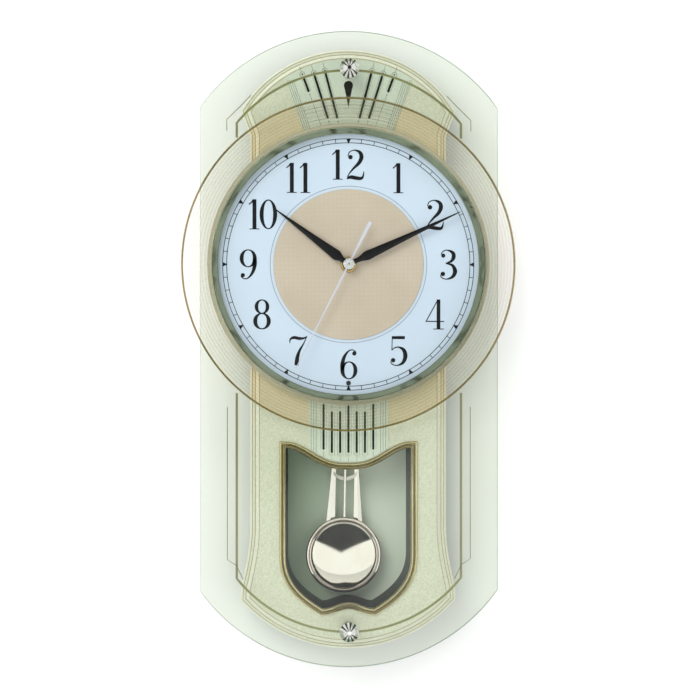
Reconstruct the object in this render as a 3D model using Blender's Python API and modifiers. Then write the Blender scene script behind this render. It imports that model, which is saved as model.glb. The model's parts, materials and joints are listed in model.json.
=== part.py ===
"""Pendulum wall clock: a glass-fronted case with a quartz gear train, a chime unit and a swinging pendulum.

Every piece is drawn as if the clock lay on its back on a bench: x to the right, y up the clock and
z out of the wall towards the viewer. One empty, clock_frame, then stands the clock up, so that in the
world +Z is up, the dial faces -Y and the wall is the plane y = 0.
"""

from math import acos, asin, cos, hypot, pi, radians, sin, sqrt

import bmesh
import bpy

MM = 0.001
GAP = 0.3            # clearance between pieces that touch
SLACK = 1.0          # how far a cutter runs past what it cuts

ROUND_STEPS = 60     # sides of the dial's large rings

# Heights above the wall, z
BACK_WALL = 2.4
HOUSING_FRONT = 25.7
FACE_BACK = 37.5
FACE_FRONT = 40.0
GLASS_BACK = 58.0
GLASS_THICKNESS = 5.0
PENDULUM_PLANE = 15.0

# Dial height and ring, which set the heights above them
AXIS_HEIGHT = 72.0            # the hands' axis above mid-height
RING_RADIUS = 142.0
RING_TO_CAP = 22.0
CAP_TOP = AXIS_HEIGHT + RING_RADIUS + RING_TO_CAP

# Case outline
CASE_HALF_HEIGHT = CAP_TOP + 20.0
CASE_SHOULDER = 92.0          # half width at the two shoulders
CASE_WAIST = 83.7             # half width of the straight sides
CASE_TOP_RADIUS = 107.0
CASE_BOTTOM_RADIUS = 123.0
WAIST_TOP = 182.0
WAIST_BOTTOM = -150.0
FLARE_BOTTOM = -206.0
CASE_WALL = 2.2
PANEL_THICKNESS = 0.7         # slot panels
MOULDING = 7.5                # width of the stepped edge
MOULDING_DEPTH = 2.2
HOUSING_INSET = 1.5

# Glass
GLASS_HALF_WIDTH = 125.4
GLASS_HALF_HEIGHT = CASE_HALF_HEIGHT + 11.5
GLASS_ARC_RADIUS = 154.1
GLASS_BEVEL = 5.5
CAP_BOTTOM = 18.0 - CASE_HALF_HEIGHT
CAP_RADIUS = 8.3
CAP_HEIGHT = 6.6
STUD_RADIUS = 2.0
STANDOFF_RADIUS = 5.5

# Dial
BEZEL_RADIUS = 116.0
BEZEL_BAND = 5.2
BEZEL_FRONT = 56.8
RING_RIM = 2.2
RING_THICKNESS = 5.6
PAN_WALL = 1.8
PAN_FLOOR = 1.5
PAN_RIM_RISE = 4.2            # from the dial to the front of the pan's rim
PAN_FLANGE = (4.5, 1.5)       # width and thickness of the rim the ring sits on
PAN_BACK = FACE_FRONT + 2 * GAP + PANEL_THICKNESS   # the slot panels pass behind the pan
DIAL_THICKNESS = 1.0
CENTRE_DISC_RADIUS = 64.0
CENTRE_DISC_THICKNESS = 0.4
SENSOR_DROP = BEZEL_RADIUS - 15.0   # light sensor below the axis
SENSOR_RADIUS = 1.9

# Hands
MINUTE_LENGTH = BEZEL_RADIUS - BEZEL_BAND - 5.8
HOUR_LENGTH = MINUTE_LENGTH - 26.5
SECOND_LENGTH = MINUTE_LENGTH - 7.5
SECOND_TAIL = 40.0
HOUR_ANGLE = 306.8            # degrees clockwise from twelve
MINUTE_ANGLE = 64.8
SECOND_ANGLE = 206.9
HAND_THICKNESS = 0.8
COLLAR_STEP = 0.35            # how far a hand's collar stands above and below it
HUB_CAP_RADIUS = 4.8
HUB_CAP_HEIGHT = 2.3
NUT_RADIUS = 6.7
NUT_HEIGHT = 2.4
HAND_STEP = 2.4               # from one hand to the next
NUT_CLEARANCE = 3.6           # from the dial to the hour hand

# Pendulum window
WINDOW_HALF_WIDTH = 53.5
WINDOW_TOP = -84.4
WINDOW_DIP = -102.9
WINDOW_SIDE_END = -174.0
WINDOW_CUSP_X = 22.0
WINDOW_CUSP = -221.4
WINDOW_ARCH = -216.3
WINDOW_CURVE = 2.6            # how late the sides turn in
TRIM_WIDTH = 5.5
TRIM_LIP = 1.7
TRIM_HEIGHT = 2.6
SURROUND_WALL = 1.5
SURROUND_DRAFT = 3.0
BACKING_THICKNESS = 1.5
BACKING_MARGIN = 6.0
BACKING_SPAN = (77.0, (0, -149.0))    # half height and centre

# Pendulum
PIVOT = -4.0
PIN_RADIUS = 1.2
DRIVE_HALF = (22.0, 31.0)
DRIVE_COIL_RADIUS = 8.0
MAGNET_DROP = 11.0
PENDULUM_LENGTH = 206.8       # from the pivot to the bob's lowest edge
BOB_RADIUS = 32.6
BOB_DROP = PENDULUM_LENGTH - BOB_RADIUS
BOB_RIM = 3.8
BOB_CROWN = 4.6
PENDULUM_TILT = 1.1           # degrees, bob to the left at rest
ROD_RADIUS = 1.35
HANGER_DROP = 40.0
CROSSBAR_DROP = 105.0
BLADE_TOP = -26.0             # below the hanger's foot
BLADE_LOW = 22.0              # above the bob's middle
BLADE_INNER = 8.0
BLADE_OUTER = 16.3

# Slot panels
SLOT_PITCH = 7.07
SLOT_WIDTH = 1.9
RECESS_WIDTH = 3.8
LOWER_PANEL_HALF = 34.0
UPPER_FAN_TOP = 54.0
UPPER_FAN_BOTTOM = 37.7
UPPER_FAN_LOW = CAP_TOP - 52.0
UPPER_SLOT_WIDTH = 2.1
UPPER_SLOT_TOPS = (CAP_TOP - 1.4, CAP_TOP - 3.5, CAP_TOP - 4.6)   # inner to outer
UPPER_SLOT_LOW = CAP_TOP - 38.5
SHORT_SLOT_LOW = CAP_TOP - 16.0
LOWER_SLOT_TOPS = (-47.5, -54.0)      # long and short slots
LOWER_SLOT_LOWS = (-85.0, -91.0)      # outer slots and the rest
TEARDROP_HEAD = CAP_TOP - 11.0
TEARDROP_POINT = CAP_TOP - 30.5
TEARDROP_RADIUS = 3.9

# Quartz movement
MOVEMENT_HALF = 28.0
MOVEMENT_BACK = 19.8
MOVEMENT_WALL = 1.2
STATOR_HALF = 4.2
COIL_RADIUS = 2.9
BUSH_OUTER = 4.5
BUSH_INNER = 3.0
HOUR_PIPE = 2.7
HOUR_PIPE_BORE = 2.0
MINUTE_PIPE = 1.7
MINUTE_PIPE_BORE = 0.95
SECOND_ARBOR = 0.6
TRAIN_DISTANCE = 13.5         # axis to third wheel
MOTION_DISTANCE = 10.0        # axis to minute wheel
FIFTH_MODULE = 0.5
THIRD_BEARING = radians(200)  # where each arbor stands around the axis
FIFTH_BEARING = radians(60)
ROTOR_BEARING = radians(150)  # from the fifth wheel

# Set knob, chime and batteries
KNOB_RADIUS = 7.0
SET_TEETH = 12
BOARD_HEIGHT = 108.5
SWITCH_TRAVEL = 8.0
VOLUME_RADIUS = 6.0
CELL_RADIUS = 7.1
CELL_LENGTH = 50.0
BATTERY_HEIGHT = 138.0
BATTERY_FLOOR = 19.5
DOOR_HALF = (25.0, 18.2)
DOOR_THICKNESS = 1.8
SPEAKER_HEIGHT = 206.0
SPEAKER_BACK = 14.0
SPEAKER_MAGNET_RADIUS = 14.0
SPEAKER_CONE_LOW = 25.9
BOARD_BACK = 6.0
BOARD_THICKNESS = 1.6
BOARD_HALF = (28.0, 5.6)
KNOB_BACK = 0.6               # how far the knobs stand in from the wall
SPEAKER_RADIUS = 27.0
HANGER_HEIGHT = 232.0
HANGER_HALF = (17.0, 12.0)
KEYHOLE_RADIUS = 4.6
SCREWS = ((-70.0, 176.0), (70.0, 176.0), (-72.0, -150.0), (72.0, -150.0))
SCREW_RADIUS = 1.5
SCREW_HEAD = 3.4
BOSS_RADIUS = 4.6


def clear_scene():
    for old in list(bpy.data.objects):
        bpy.data.objects.remove(old, do_unlink=True)


def new_collection(name):
    made = bpy.data.collections.new(name)
    bpy.context.scene.collection.children.link(made)
    return made


clear_scene()
parts = new_collection("pendulum_wall_clock")
tools = new_collection("cutters")

frame = bpy.data.objects.new("clock_frame", None)
frame.rotation_euler = (pi / 2, 0, 0)
parts.objects.link(frame)


def finish(name, colour, roughness, metallic=0.0):
    made = bpy.data.materials.new(name)
    made.use_nodes = True
    shader = made.node_tree.nodes["Principled BSDF"]
    shader.inputs["Base Color"].default_value = (*colour, 1)
    shader.inputs["Roughness"].default_value = roughness
    shader.inputs["Metallic"].default_value = metallic
    made.diffuse_color = (*colour, 1)
    return made


clear_glass = finish("toughened_glass", (0.80, 0.90, 0.74), 0.05)
ring_plastic = finish("amber_acrylic", (0.75, 0.66, 0.42), 0.15)
champagne = finish("champagne_lacquer", (0.60, 0.61, 0.42), 0.35, 0.6)
silver = finish("silver_lacquer", (0.66, 0.75, 0.64), 0.3, 0.5)
gold = finish("gold_plate", (0.75, 0.66, 0.42), 0.2, 1.0)
chrome = finish("chrome_plate", (0.8, 0.8, 0.8), 0.1, 1.0)
brass = finish("brass", (0.7, 0.55, 0.28), 0.3, 1.0)
steel = finish("steel", (0.6, 0.6, 0.6), 0.35, 1.0)
copper = finish("enamelled_copper", (0.6, 0.3, 0.15), 0.4, 0.8)
dial_white = finish("dial_card", (0.72, 0.80, 0.89), 0.5)
dial_beige = finish("dial_mesh", (0.62, 0.53, 0.42), 0.6)
black_metal = finish("black_aluminium", (0.02, 0.02, 0.02), 0.4, 0.3)
white_metal = finish("white_aluminium", (0.9, 0.9, 0.9), 0.4)
black_plastic = finish("black_plastic", (0.03, 0.03, 0.03), 0.5)
ivory_plastic = finish("ivory_plastic", (0.78, 0.75, 0.66), 0.5)
nylon = finish("white_nylon", (0.85, 0.85, 0.8), 0.5)
grey_card = finish("grey_green_card", (0.33, 0.38, 0.32), 0.6)
black_cloth = finish("black_cloth", (0.02, 0.02, 0.02), 0.9)
board_green = finish("circuit_board", (0.05, 0.2, 0.08), 0.5)
cell_wrap = finish("cell_wrap", (0.1, 0.15, 0.3), 0.4)


def place(name, mesh, material, at=(0, 0, 0), parent=None, is_tool=False):
    """Adds a mesh as a piece or, as a tool, among the hidden shapes that cut or join others."""
    made = bpy.data.objects.new(name, mesh)
    (tools if is_tool else parts).objects.link(made)
    made.parent = parent or frame
    made.location = [v * MM for v in at]
    if is_tool:
        made.hide_render = True
        made.display_type = "WIRE"
    else:
        mesh.materials.append(material)
    return made


def boolean(target, tool, operation="DIFFERENCE"):
    made = target.modifiers.new(operation.lower(), "BOOLEAN")
    made.object = tool
    made.operation = operation
    made.solver = "EXACT"


def loft(name, rings, material=None, closed=False, **where):
    """Skins rings of (x, y, z) points. The first and last are capped, or joined when closed."""
    mesh = bpy.data.meshes.new(name)
    work = bmesh.new()
    rows = [[work.verts.new([v * MM for v in point]) for point in ring] for ring in rings]
    pairs = list(zip(rows, rows[1:]))
    if closed:
        pairs.append((rows[-1], rows[0]))
    for low, high in pairs:
        for i in range(len(low)):
            j = (i + 1) % len(low)
            work.faces.new((low[i], low[j], high[j], high[i]))
    if not closed:
        work.faces.new(rows[0])
        work.faces.new(rows[-1])
    bmesh.ops.recalc_face_normals(work, faces=work.faces)
    work.to_mesh(mesh)
    work.free()
    return place(name, mesh, material, **where)


def plate(name, outline, low, high, material=None, **where):
    return loft(name, [[(x, y, z) for x, y in outline] for z in (low, high)], material, **where)


def turned(name, profile, material=None, steps=48, at=(0, 0), **where):
    """Turns a profile of (radius, z) points about the axis at (x, y)."""
    ring = min(r for r, z in profile) > 0
    area = sum(
        a[0] * b[1] - b[0] * a[1] for a, b in zip(profile, profile[1:] + profile[:1])
    )
    points = list(reversed(profile)) if area > 0 else list(profile)
    if not ring:
        while points[0][0] > 0 or points[-1][0] > 0:
            points.append(points.pop(0))
    mesh = bpy.data.meshes.new(name)
    count = len(points)
    edges = [(i, i + 1) for i in range(count - 1)] + ([(count - 1, 0)] if ring else [])
    mesh.from_pydata([(r * MM, 0, z * MM) for r, z in points], edges, [])
    made = place(name, mesh, material, at=(*at, 0), **where)
    screw = made.modifiers.new("turn", "SCREW")
    screw.steps = steps
    screw.render_steps = steps
    screw.use_merge_vertices = True
    screw.merge_threshold = 0.00001
    screw.use_normal_calculate = False
    screw.use_smooth_shade = True
    return made


def disc(radius, low, high, bore=0.0):
    return [(bore, low), (radius, low), (radius, high), (bore, high)]


def arc(centre, radius, start, end, steps):
    """Points along an arc, both ends included, angles in radians."""
    return [
        (
            centre[0] + radius * cos(start + (end - start) * i / steps),
            centre[1] + radius * sin(start + (end - start) * i / steps),
        )
        for i in range(steps + 1)
    ]


def box_outline(half_x, half_y, centre=(0, 0)):
    x, y = centre
    return [
        (x - half_x, y - half_y),
        (x + half_x, y - half_y),
        (x + half_x, y + half_y),
        (x - half_x, y + half_y),
    ]


def offset(outline, distance):
    """Moves each side of an anticlockwise outline outwards by a distance."""
    moved = []
    count = len(outline)
    for i, (x, y) in enumerate(outline):
        before = outline[i - 1]
        after = outline[(i + 1) % count]
        first = (x - before[0], y - before[1])
        second = (after[0] - x, after[1] - y)
        normals = [(dy / hypot(dx, dy), -dx / hypot(dx, dy)) for dx, dy in (first, second)]
        sum_x = normals[0][0] + normals[1][0]
        sum_y = normals[0][1] + normals[1][1]
        scale = 2 / max(sum_x**2 + sum_y**2, 1.0)
        moved.append((x + distance * sum_x * scale, y + distance * sum_y * scale))
    return moved


def mirrored(right_side):
    """Closes the right half of an outline, given bottom to top, with its mirror image."""
    left = [(-x, y) for x, y in reversed(right_side) if x > 0.001]
    return right_side + left


def slot_outline(width, end_a, end_b, steps=3):
    """A straight slot with round ends at two centres."""
    (ax, ay), (bx, by) = end_a, end_b
    along = complex(bx - ax, by - ay)
    turn = along / abs(along)
    points = []
    for (x, y), start in ((end_b, -pi / 2), (end_a, pi / 2)):
        for px, py in arc((0, 0), width / 2, start, start + pi, steps):
            spun = complex(px, py) * turn
            points.append((x + spun.real, y + spun.imag))
    return points


# Case outline, from its pieces


def case_outline(top_steps=16):
    top_centre = CASE_HALF_HEIGHT - CASE_TOP_RADIUS
    bottom_centre = CASE_BOTTOM_RADIUS - CASE_HALF_HEIGHT
    top_end = acos(CASE_SHOULDER / CASE_TOP_RADIUS)
    bottom_end = -acos(CASE_SHOULDER / CASE_BOTTOM_RADIUS)
    half = arc((0, bottom_centre), CASE_BOTTOM_RADIUS, -pi / 2, bottom_end, top_steps // 2)
    flare_run = WAIST_BOTTOM - FLARE_BOTTOM
    for i in range(5):
        t = i / 4
        half.append((CASE_SHOULDER - (CASE_SHOULDER - CASE_WAIST) * sin(t * pi / 2),
                     FLARE_BOTTOM + flare_run * t))
    half.append((CASE_WAIST, WAIST_TOP))
    half += arc((0, top_centre), CASE_TOP_RADIUS, top_end, pi / 2, top_steps // 2)
    return mirrored(half)


def window_outline():
    """The pendulum window: waved at the top, a curly bracket at the bottom."""
    half = []
    for i in range(5):
        x = WINDOW_CUSP_X * i / 5
        rise = (WINDOW_ARCH - WINDOW_CUSP) * (1 + cos(pi * i / 5)) / 2
        half.append((x, WINDOW_CUSP + rise))
    width = WINDOW_HALF_WIDTH - WINDOW_CUSP_X
    height = WINDOW_SIDE_END - WINDOW_CUSP
    for i in range(8):
        fall = 1 - i / 7
        half.append((WINDOW_HALF_WIDTH - width * fall**WINDOW_CURVE, WINDOW_SIDE_END - height * fall))
    for i in range(11):
        x = WINDOW_HALF_WIDTH * (1 - i / 10)
        half.append((x, wave_height(x)))
    return mirrored(half)


def wave_height(x):
    """Height of the window's top edge at x, also followed by the slot panel above it."""
    t = min(abs(x) / WINDOW_HALF_WIDTH, 1) ** 1.35
    return WINDOW_DIP + (WINDOW_TOP - WINDOW_DIP) * (1 - cos(pi * t)) / 2


def above_trim(x):
    """Lowest height at x that clears the trim along the window's waved top."""
    slope = wave_height(x + 0.5) - wave_height(x - 0.5)
    return wave_height(x) + (TRIM_WIDTH + 2 * GAP) * hypot(1, slope) + 2 * GAP


case_edge = case_outline()
window_edge = window_outline()


def lower_panel_outline():
    top = AXIS_HEIGHT - BEZEL_RADIUS + 4
    low = [(x, above_trim(x)) for x in [LOWER_PANEL_HALF * (i / 5 - 1) for i in range(11)]]
    return low + [(LOWER_PANEL_HALF, top), (-LOWER_PANEL_HALF, top)]


def fan_half_width(y):
    """Half width of the fan-shaped upper panel at a height."""
    arc_centre = CASE_HALF_HEIGHT - CASE_TOP_RADIUS
    fan_top = arc_centre + sqrt((CASE_TOP_RADIUS - MOULDING - 1.5) ** 2 - UPPER_FAN_TOP**2)
    return UPPER_FAN_BOTTOM + (UPPER_FAN_TOP - UPPER_FAN_BOTTOM) * (y - UPPER_FAN_LOW) / (
        fan_top - UPPER_FAN_LOW
    )


def upper_panel_outline():
    radius = CASE_TOP_RADIUS - MOULDING - 1.5
    centre = (0, CASE_HALF_HEIGHT - CASE_TOP_RADIUS)
    start = acos(UPPER_FAN_TOP / radius)
    top = arc(centre, radius, start, pi - start, 12)
    low = UPPER_FAN_LOW - 4
    return [(-fan_half_width(low), low), (fan_half_width(low), low)] + top


# Glass


def glass_outline(half_width):
    """The glass cut at a half width: straight sides between a top and a bottom arc."""
    centre = GLASS_HALF_HEIGHT - GLASS_ARC_RADIUS
    end = acos(half_width / GLASS_ARC_RADIUS)
    bottom = arc((0, -centre), GLASS_ARC_RADIUS, end - pi, -end, 20)
    return bottom + [(-x, -y) for x, y in bottom]


def glass_panel():
    front = GLASS_BACK + GLASS_THICKNESS
    full = glass_outline(GLASS_HALF_WIDTH)
    narrow = glass_outline(GLASS_HALF_WIDTH - GLASS_BEVEL)
    rings = [
        [(x, y, GLASS_BACK) for x, y in full],
        [(x, y, front - 1.4) for x, y in full],
        [(x, y, front) for x, y in narrow],
    ]
    glass = loft("glass_panel", rings, clear_glass)
    for i, y in enumerate((CAP_TOP, CAP_BOTTOM)):
        hole = disc(STUD_RADIUS + 1.2, GLASS_BACK - SLACK, front + SLACK)
        boolean(glass, turned(f"stud_hole_{i}", hole, steps=20, at=(0, y), is_tool=True))


def glass_fixings():
    """Cap nut and standoff above and below."""
    front = GLASS_BACK + GLASS_THICKNESS + GAP
    face = FACE_FRONT + GAP
    for where, y, seat in (
        ("top", CAP_TOP, face + PANEL_THICKNESS + GAP),
        ("bottom", CAP_BOTTOM, face),
    ):
        cap = [
            (0, seat + 2),
            (STUD_RADIUS, seat + 2),
            (STUD_RADIUS, front),
            (CAP_RADIUS, front),
            (CAP_RADIUS, front + CAP_HEIGHT * 0.35),
            (CAP_RADIUS - 1.4, front + CAP_HEIGHT * 0.62),
            (2.2, front + CAP_HEIGHT),
            (0, front + CAP_HEIGHT),
        ]
        turned(f"{where}_cap_nut", cap, chrome, steps=24, at=(0, y))
        bore = STUD_RADIUS + GAP
        post = disc(STANDOFF_RADIUS, seat, GLASS_BACK - GAP, bore)
        turned(f"{where}_standoff", post, steel, steps=24, at=(0, y))


# Dial unit


def dial_unit():
    at = (0, AXIS_HEIGHT)
    pan_floor = PAN_BACK + PAN_FLOOR
    dial_back = pan_floor + GAP
    dial_front = dial_back + DIAL_THICKNESS
    pan_rim = dial_front + PAN_RIM_RISE
    wall = BEZEL_RADIUS - 0.5
    shaft_hole = BUSH_OUTER + GAP
    pan = [
        (shaft_hole, PAN_BACK),
        (wall, PAN_BACK),
        (wall, pan_rim - PAN_FLANGE[1]),
        (wall + PAN_FLANGE[0], pan_rim - PAN_FLANGE[1]),
        (wall + PAN_FLANGE[0], pan_rim),
        (wall - PAN_WALL, pan_rim),
        (wall - PAN_WALL, pan_floor),
        (shaft_hole, pan_floor),
    ]
    turned("dial_pan", pan, ivory_plastic, steps=ROUND_STEPS, at=at)

    plate_radius = wall - PAN_WALL - GAP
    dial = turned("dial_plate", disc(plate_radius, dial_back, dial_front, shaft_hole),
                  dial_white, steps=ROUND_STEPS, at=at)
    eye = (0, AXIS_HEIGHT - SENSOR_DROP)
    hole = disc(SENSOR_RADIUS + GAP, dial_back - SLACK, dial_front + SLACK)
    boolean(dial, turned("sensor_hole", hole, steps=16, at=eye, is_tool=True))
    turned("light_sensor", disc(SENSOR_RADIUS, dial_back, dial_front + 0.2), black_plastic,
           steps=16, at=eye)

    disc_low = dial_front + GAP
    centre = disc(CENTRE_DISC_RADIUS, disc_low, disc_low + CENTRE_DISC_THICKNESS, NUT_RADIUS + GAP)
    turned("dial_centre_disc", centre, dial_beige, steps=ROUND_STEPS, at=at)
    nut = [
        (shaft_hole, disc_low),
        (NUT_RADIUS, disc_low),
        (NUT_RADIUS, disc_low + NUT_HEIGHT - 0.8),
        (NUT_RADIUS - 0.8, disc_low + NUT_HEIGHT),
        (shaft_hole, disc_low + NUT_HEIGHT),
    ]
    turned("movement_nut", nut, brass, steps=24, at=at)

    inner = BEZEL_RADIUS - BEZEL_BAND
    skirt = wall - PAN_WALL - GAP
    seat = pan_rim + GAP
    bezel = [
        (inner, dial_front + GAP),
        (skirt, dial_front + GAP),
        (skirt, seat),
        (BEZEL_RADIUS, seat),
        (BEZEL_RADIUS, BEZEL_FRONT - 1.0),
        (BEZEL_RADIUS - 0.9, BEZEL_FRONT),
        (inner + 0.5, BEZEL_FRONT - 5.8),
        (inner, BEZEL_FRONT - 6.4),
    ]
    turned("dial_bezel", bezel, gold, steps=ROUND_STEPS, at=at)

    ring_in = BEZEL_RADIUS + GAP
    crown = seat + RING_THICKNESS
    ring = [
        (ring_in, seat),
        (RING_RADIUS, seat),
        (RING_RADIUS, seat + 3.4),
        (RING_RADIUS - RING_RIM, seat + 4.0),
        (RING_RADIUS - RING_RIM - 8, crown),
        (ring_in, crown),
    ]
    turned("ribbed_ring", ring, ring_plastic, steps=ROUND_STEPS, at=at)


# Hands


def hand_level(step):
    """Height of the hour, minute or second hand: 0, 1 or 2."""
    return PAN_BACK + PAN_FLOOR + GAP + DIAL_THICKNESS + GAP + NUT_CLEARANCE + HAND_STEP * step


def spear_outline(length, hub, waist, belly):
    """Right-hand side of a spear hand, from its hub, to be mirrored: narrow, swelling, then a long taper."""
    shape = arc((0, 0), hub, -pi / 2, pi / 2 - asin(waist / hub), 6)
    swell = length * 0.16
    for i in range(1, 6):
        t = i / 5
        shape.append((waist + (belly - waist) * sin(t * pi / 2), hub + (swell - hub) * t))
    tip = 0.55
    shape.append((tip + 0.9, length * 0.86))
    shape.append((tip, length * 0.93))
    shape.append((tip * 0.6, length - 0.5))
    shape.append((0, length))
    return mirrored(shape)


def hand(name, outline, low, bore, collar, angle, material):
    """A flat hand on a bored collar, on an empty that sets its angle at rest."""
    arm = bpy.data.objects.new(f"{name}_pose", None)
    parts.objects.link(arm)
    arm.parent = frame
    arm.location = (0, AXIS_HEIGHT * MM, 0)
    arm.rotation_euler = (0, 0, -radians(angle))
    made = plate(name, outline, low, low + HAND_THICKNESS, material, parent=arm)
    boss = disc(collar - 0.4, low - COLLAR_STEP, low + HAND_THICKNESS + COLLAR_STEP)
    boolean(made, turned(f"{name}_boss", boss, steps=16, parent=arm, is_tool=True), "UNION")
    hole = disc(bore, low - SLACK, low + HAND_THICKNESS + SLACK)
    boolean(made, turned(f"{name}_bore", hole, steps=16, parent=arm, is_tool=True))


def second_outline():
    """A thin needle with a wider counterweight tail."""
    half = [
        (0, -SECOND_TAIL),
        (1.55, -SECOND_TAIL),
        (0.9, -4),
        (2.0, -1.5),
        (2.0, 1.5),
        (0.85, 4),
        (0.42, SECOND_LENGTH),
        (0, SECOND_LENGTH),
    ]
    return mirrored(half)


def hands():
    hand("hour_hand", spear_outline(HOUR_LENGTH, 4.6, 2.2, 4.4), hand_level(0),
         HOUR_PIPE + GAP, 4.6, HOUR_ANGLE, black_metal)
    hand("minute_hand", spear_outline(MINUTE_LENGTH, 4.0, 2.0, 4.0), hand_level(1),
         MINUTE_PIPE + GAP, 4.0, MINUTE_ANGLE, black_metal)
    hand("second_hand", second_outline(), hand_level(2),
         SECOND_ARBOR + GAP, 2.6, SECOND_ANGLE, white_metal)
    low = hand_level(2) + HAND_THICKNESS + COLLAR_STEP + GAP
    top = low + HUB_CAP_HEIGHT
    cap = [(0, low), (HUB_CAP_RADIUS, low), (HUB_CAP_RADIUS, low + 1.0),
           (HUB_CAP_RADIUS - 1.2, top - 0.4), (1.6, top), (0, top)]
    turned("second_hand_cap", cap, chrome, steps=16, at=(0, AXIS_HEIGHT))


# Case


def screw_bosses(target, low, high, name):
    for i, at in enumerate(SCREWS):
        shape = disc(BOSS_RADIUS, low, high)
        boss = turned(f"{name}_boss_{i}", shape, steps=14, at=at, is_tool=True)
        boolean(target, boss, "UNION")


def case_front():
    step = FACE_FRONT - MOULDING_DEPTH
    edge = [
        (0, HOUSING_FRONT + GAP),
        (0, step - 1.4),
        (-1.4, step),
        (-4.6, step),
        (-MOULDING, FACE_FRONT),
    ]
    rings = [[(x, y, z) for x, y in offset(case_edge, d)] for d, z in edge]
    case = loft("case_front", rings, champagne)
    hollow = plate("case_hollow", offset(case_edge, -CASE_WALL), HOUSING_FRONT - SLACK,
                   FACE_FRONT - 6.3, is_tool=True)
    boolean(case, hollow)
    inner = plate("case_inner_hollow", offset(case_edge, -MOULDING - 1), FACE_FRONT - 7,
                  FACE_BACK, is_tool=True)
    boolean(case, inner)
    screw_bosses(case, HOUSING_FRONT + GAP, FACE_BACK + 1, "case")
    low, high = HOUSING_FRONT - SLACK, FACE_FRONT + SLACK
    boolean(case, plate("window_opening", offset(window_edge, TRIM_LIP + GAP), low, high, is_tool=True))
    boolean(case, plate("lower_slot_opening", lower_grille_outline(), low, high, is_tool=True))
    boolean(case, plate("upper_slot_opening", upper_grille_outline(), low, high, is_tool=True))
    shaft = disc(BUSH_OUTER + GAP, low, high)
    boolean(case, turned("shaft_opening", shaft, steps=24, at=(0, AXIS_HEIGHT), is_tool=True))
    for i, at in enumerate(SCREWS):
        pilot = disc(SCREW_RADIUS + GAP, low, FACE_BACK - 1)
        boolean(case, turned(f"case_pilot_{i}", pilot, steps=12, at=at, is_tool=True))


def lower_slots():
    """Ends of each slot's centre line, left to right."""
    for i in range(-3, 4):
        top = LOWER_SLOT_TOPS[i % 3 != 0]
        low = LOWER_SLOT_LOWS[abs(i) != 3]
        yield (i * SLOT_PITCH, low), (i * SLOT_PITCH, top)


def upper_slots():
    """Ends of each slanted slot's centre line. The outer pair is short."""
    for side in (-1, 1):
        for k in (1, 2, 3):
            ends = (SHORT_SLOT_LOW if k == 3 else UPPER_SLOT_LOW, UPPER_SLOT_TOPS[k - 1])
            yield [(side * (1.5 + 8.1 * k + (0.21 + 0.052 * k) * (y - UPPER_SLOT_LOW)), y) for y in ends]


def lower_grille_outline():
    reach = 3 * SLOT_PITCH + RECESS_WIDTH
    low = above_trim(reach) + 1.4
    top = LOWER_SLOT_TOPS[0] + 2.5
    return box_outline(reach, (top - low) / 2, (0, (top + low) / 2))


def upper_grille_outline():
    low, high = UPPER_SLOT_LOW - 2.5, UPPER_SLOT_TOPS[0] + 1.2
    half_low = fan_half_width(low) - 12
    half_high = fan_half_width(high) - 12
    return [(-half_low, low), (half_low, low), (half_high, high), (-half_high, high)]


def teardrop_outline():
    """Round head above, drawn out to a point below."""
    head = (0, TEARDROP_HEAD)
    return arc(head, TEARDROP_RADIUS, -radians(25), pi + radians(25), 12) + [(0, TEARDROP_POINT)]


def slot_panels():
    low = FACE_FRONT + GAP
    high = low + PANEL_THICKNESS
    lower = plate("lower_slot_panel", lower_panel_outline(), low, high, silver)
    for i, ends in enumerate(lower_slots()):
        recess = slot_outline(RECESS_WIDTH, *ends)
        boolean(lower, plate(f"lower_recess_{i}", recess, high - 0.3, high + SLACK, is_tool=True))
        slot = slot_outline(SLOT_WIDTH, *ends)
        boolean(lower, plate(f"lower_slot_{i}", slot, low - SLACK, high + SLACK, is_tool=True))
    upper = plate("upper_slot_panel", upper_panel_outline(), low, high, silver)
    for i, ends in enumerate(upper_slots()):
        slot = slot_outline(UPPER_SLOT_WIDTH, *ends)
        boolean(upper, plate(f"upper_slot_{i}", slot, low - SLACK, high + SLACK, is_tool=True))
    drop = plate("teardrop", teardrop_outline(), low - SLACK, high + SLACK, is_tool=True)
    boolean(upper, drop)
    stud = disc(STUD_RADIUS + GAP, low - SLACK, high + SLACK)
    boolean(upper, turned("stud_opening", stud, steps=16, at=(0, CAP_TOP), is_tool=True))
    for name, outline in (
        ("lower_grille_cloth", lower_grille_outline()),
        ("upper_grille_cloth", upper_grille_outline()),
    ):
        plate(name, offset(outline, -GAP), FACE_FRONT - 1.2, FACE_FRONT, black_cloth)


def window_pieces():
    base = FACE_FRONT + GAP
    section = [
        (0.0, FACE_BACK),
        (TRIM_LIP, FACE_BACK),
        (TRIM_LIP, base),
        (TRIM_WIDTH, base),
        (TRIM_WIDTH, base + TRIM_HEIGHT * 0.5),
        (TRIM_WIDTH - 1.4, base + TRIM_HEIGHT * 0.9),
        (1.2, base + TRIM_HEIGHT),
        (0.0, base + TRIM_HEIGHT * 0.6),
    ]
    rings = [[(x, y, z) for x, y in offset(window_edge, d)] for d, z in section]
    loft("window_trim", rings, gold, closed=True)

    back = BACK_WALL + GAP + BACKING_THICKNESS + GAP
    front = FACE_BACK - GAP
    path = surround_path()
    rings = []
    for z, draft in ((back, SURROUND_DRAFT), (front, 0.0)):
        inner = surround_points(path, 1.0 - draft)
        outer = surround_points(path, 1.0 - draft + SURROUND_WALL)
        rings.append([(x, y, z) for x, y in inner + outer[::-1]])
    loft("window_surround", rings, black_plastic)

    low = BACK_WALL + GAP
    high = low + BACKING_THICKNESS
    backing = box_outline(WINDOW_HALF_WIDTH + BACKING_MARGIN, *BACKING_SPAN)
    plate("window_backing", backing, low, high, grey_card)


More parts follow.
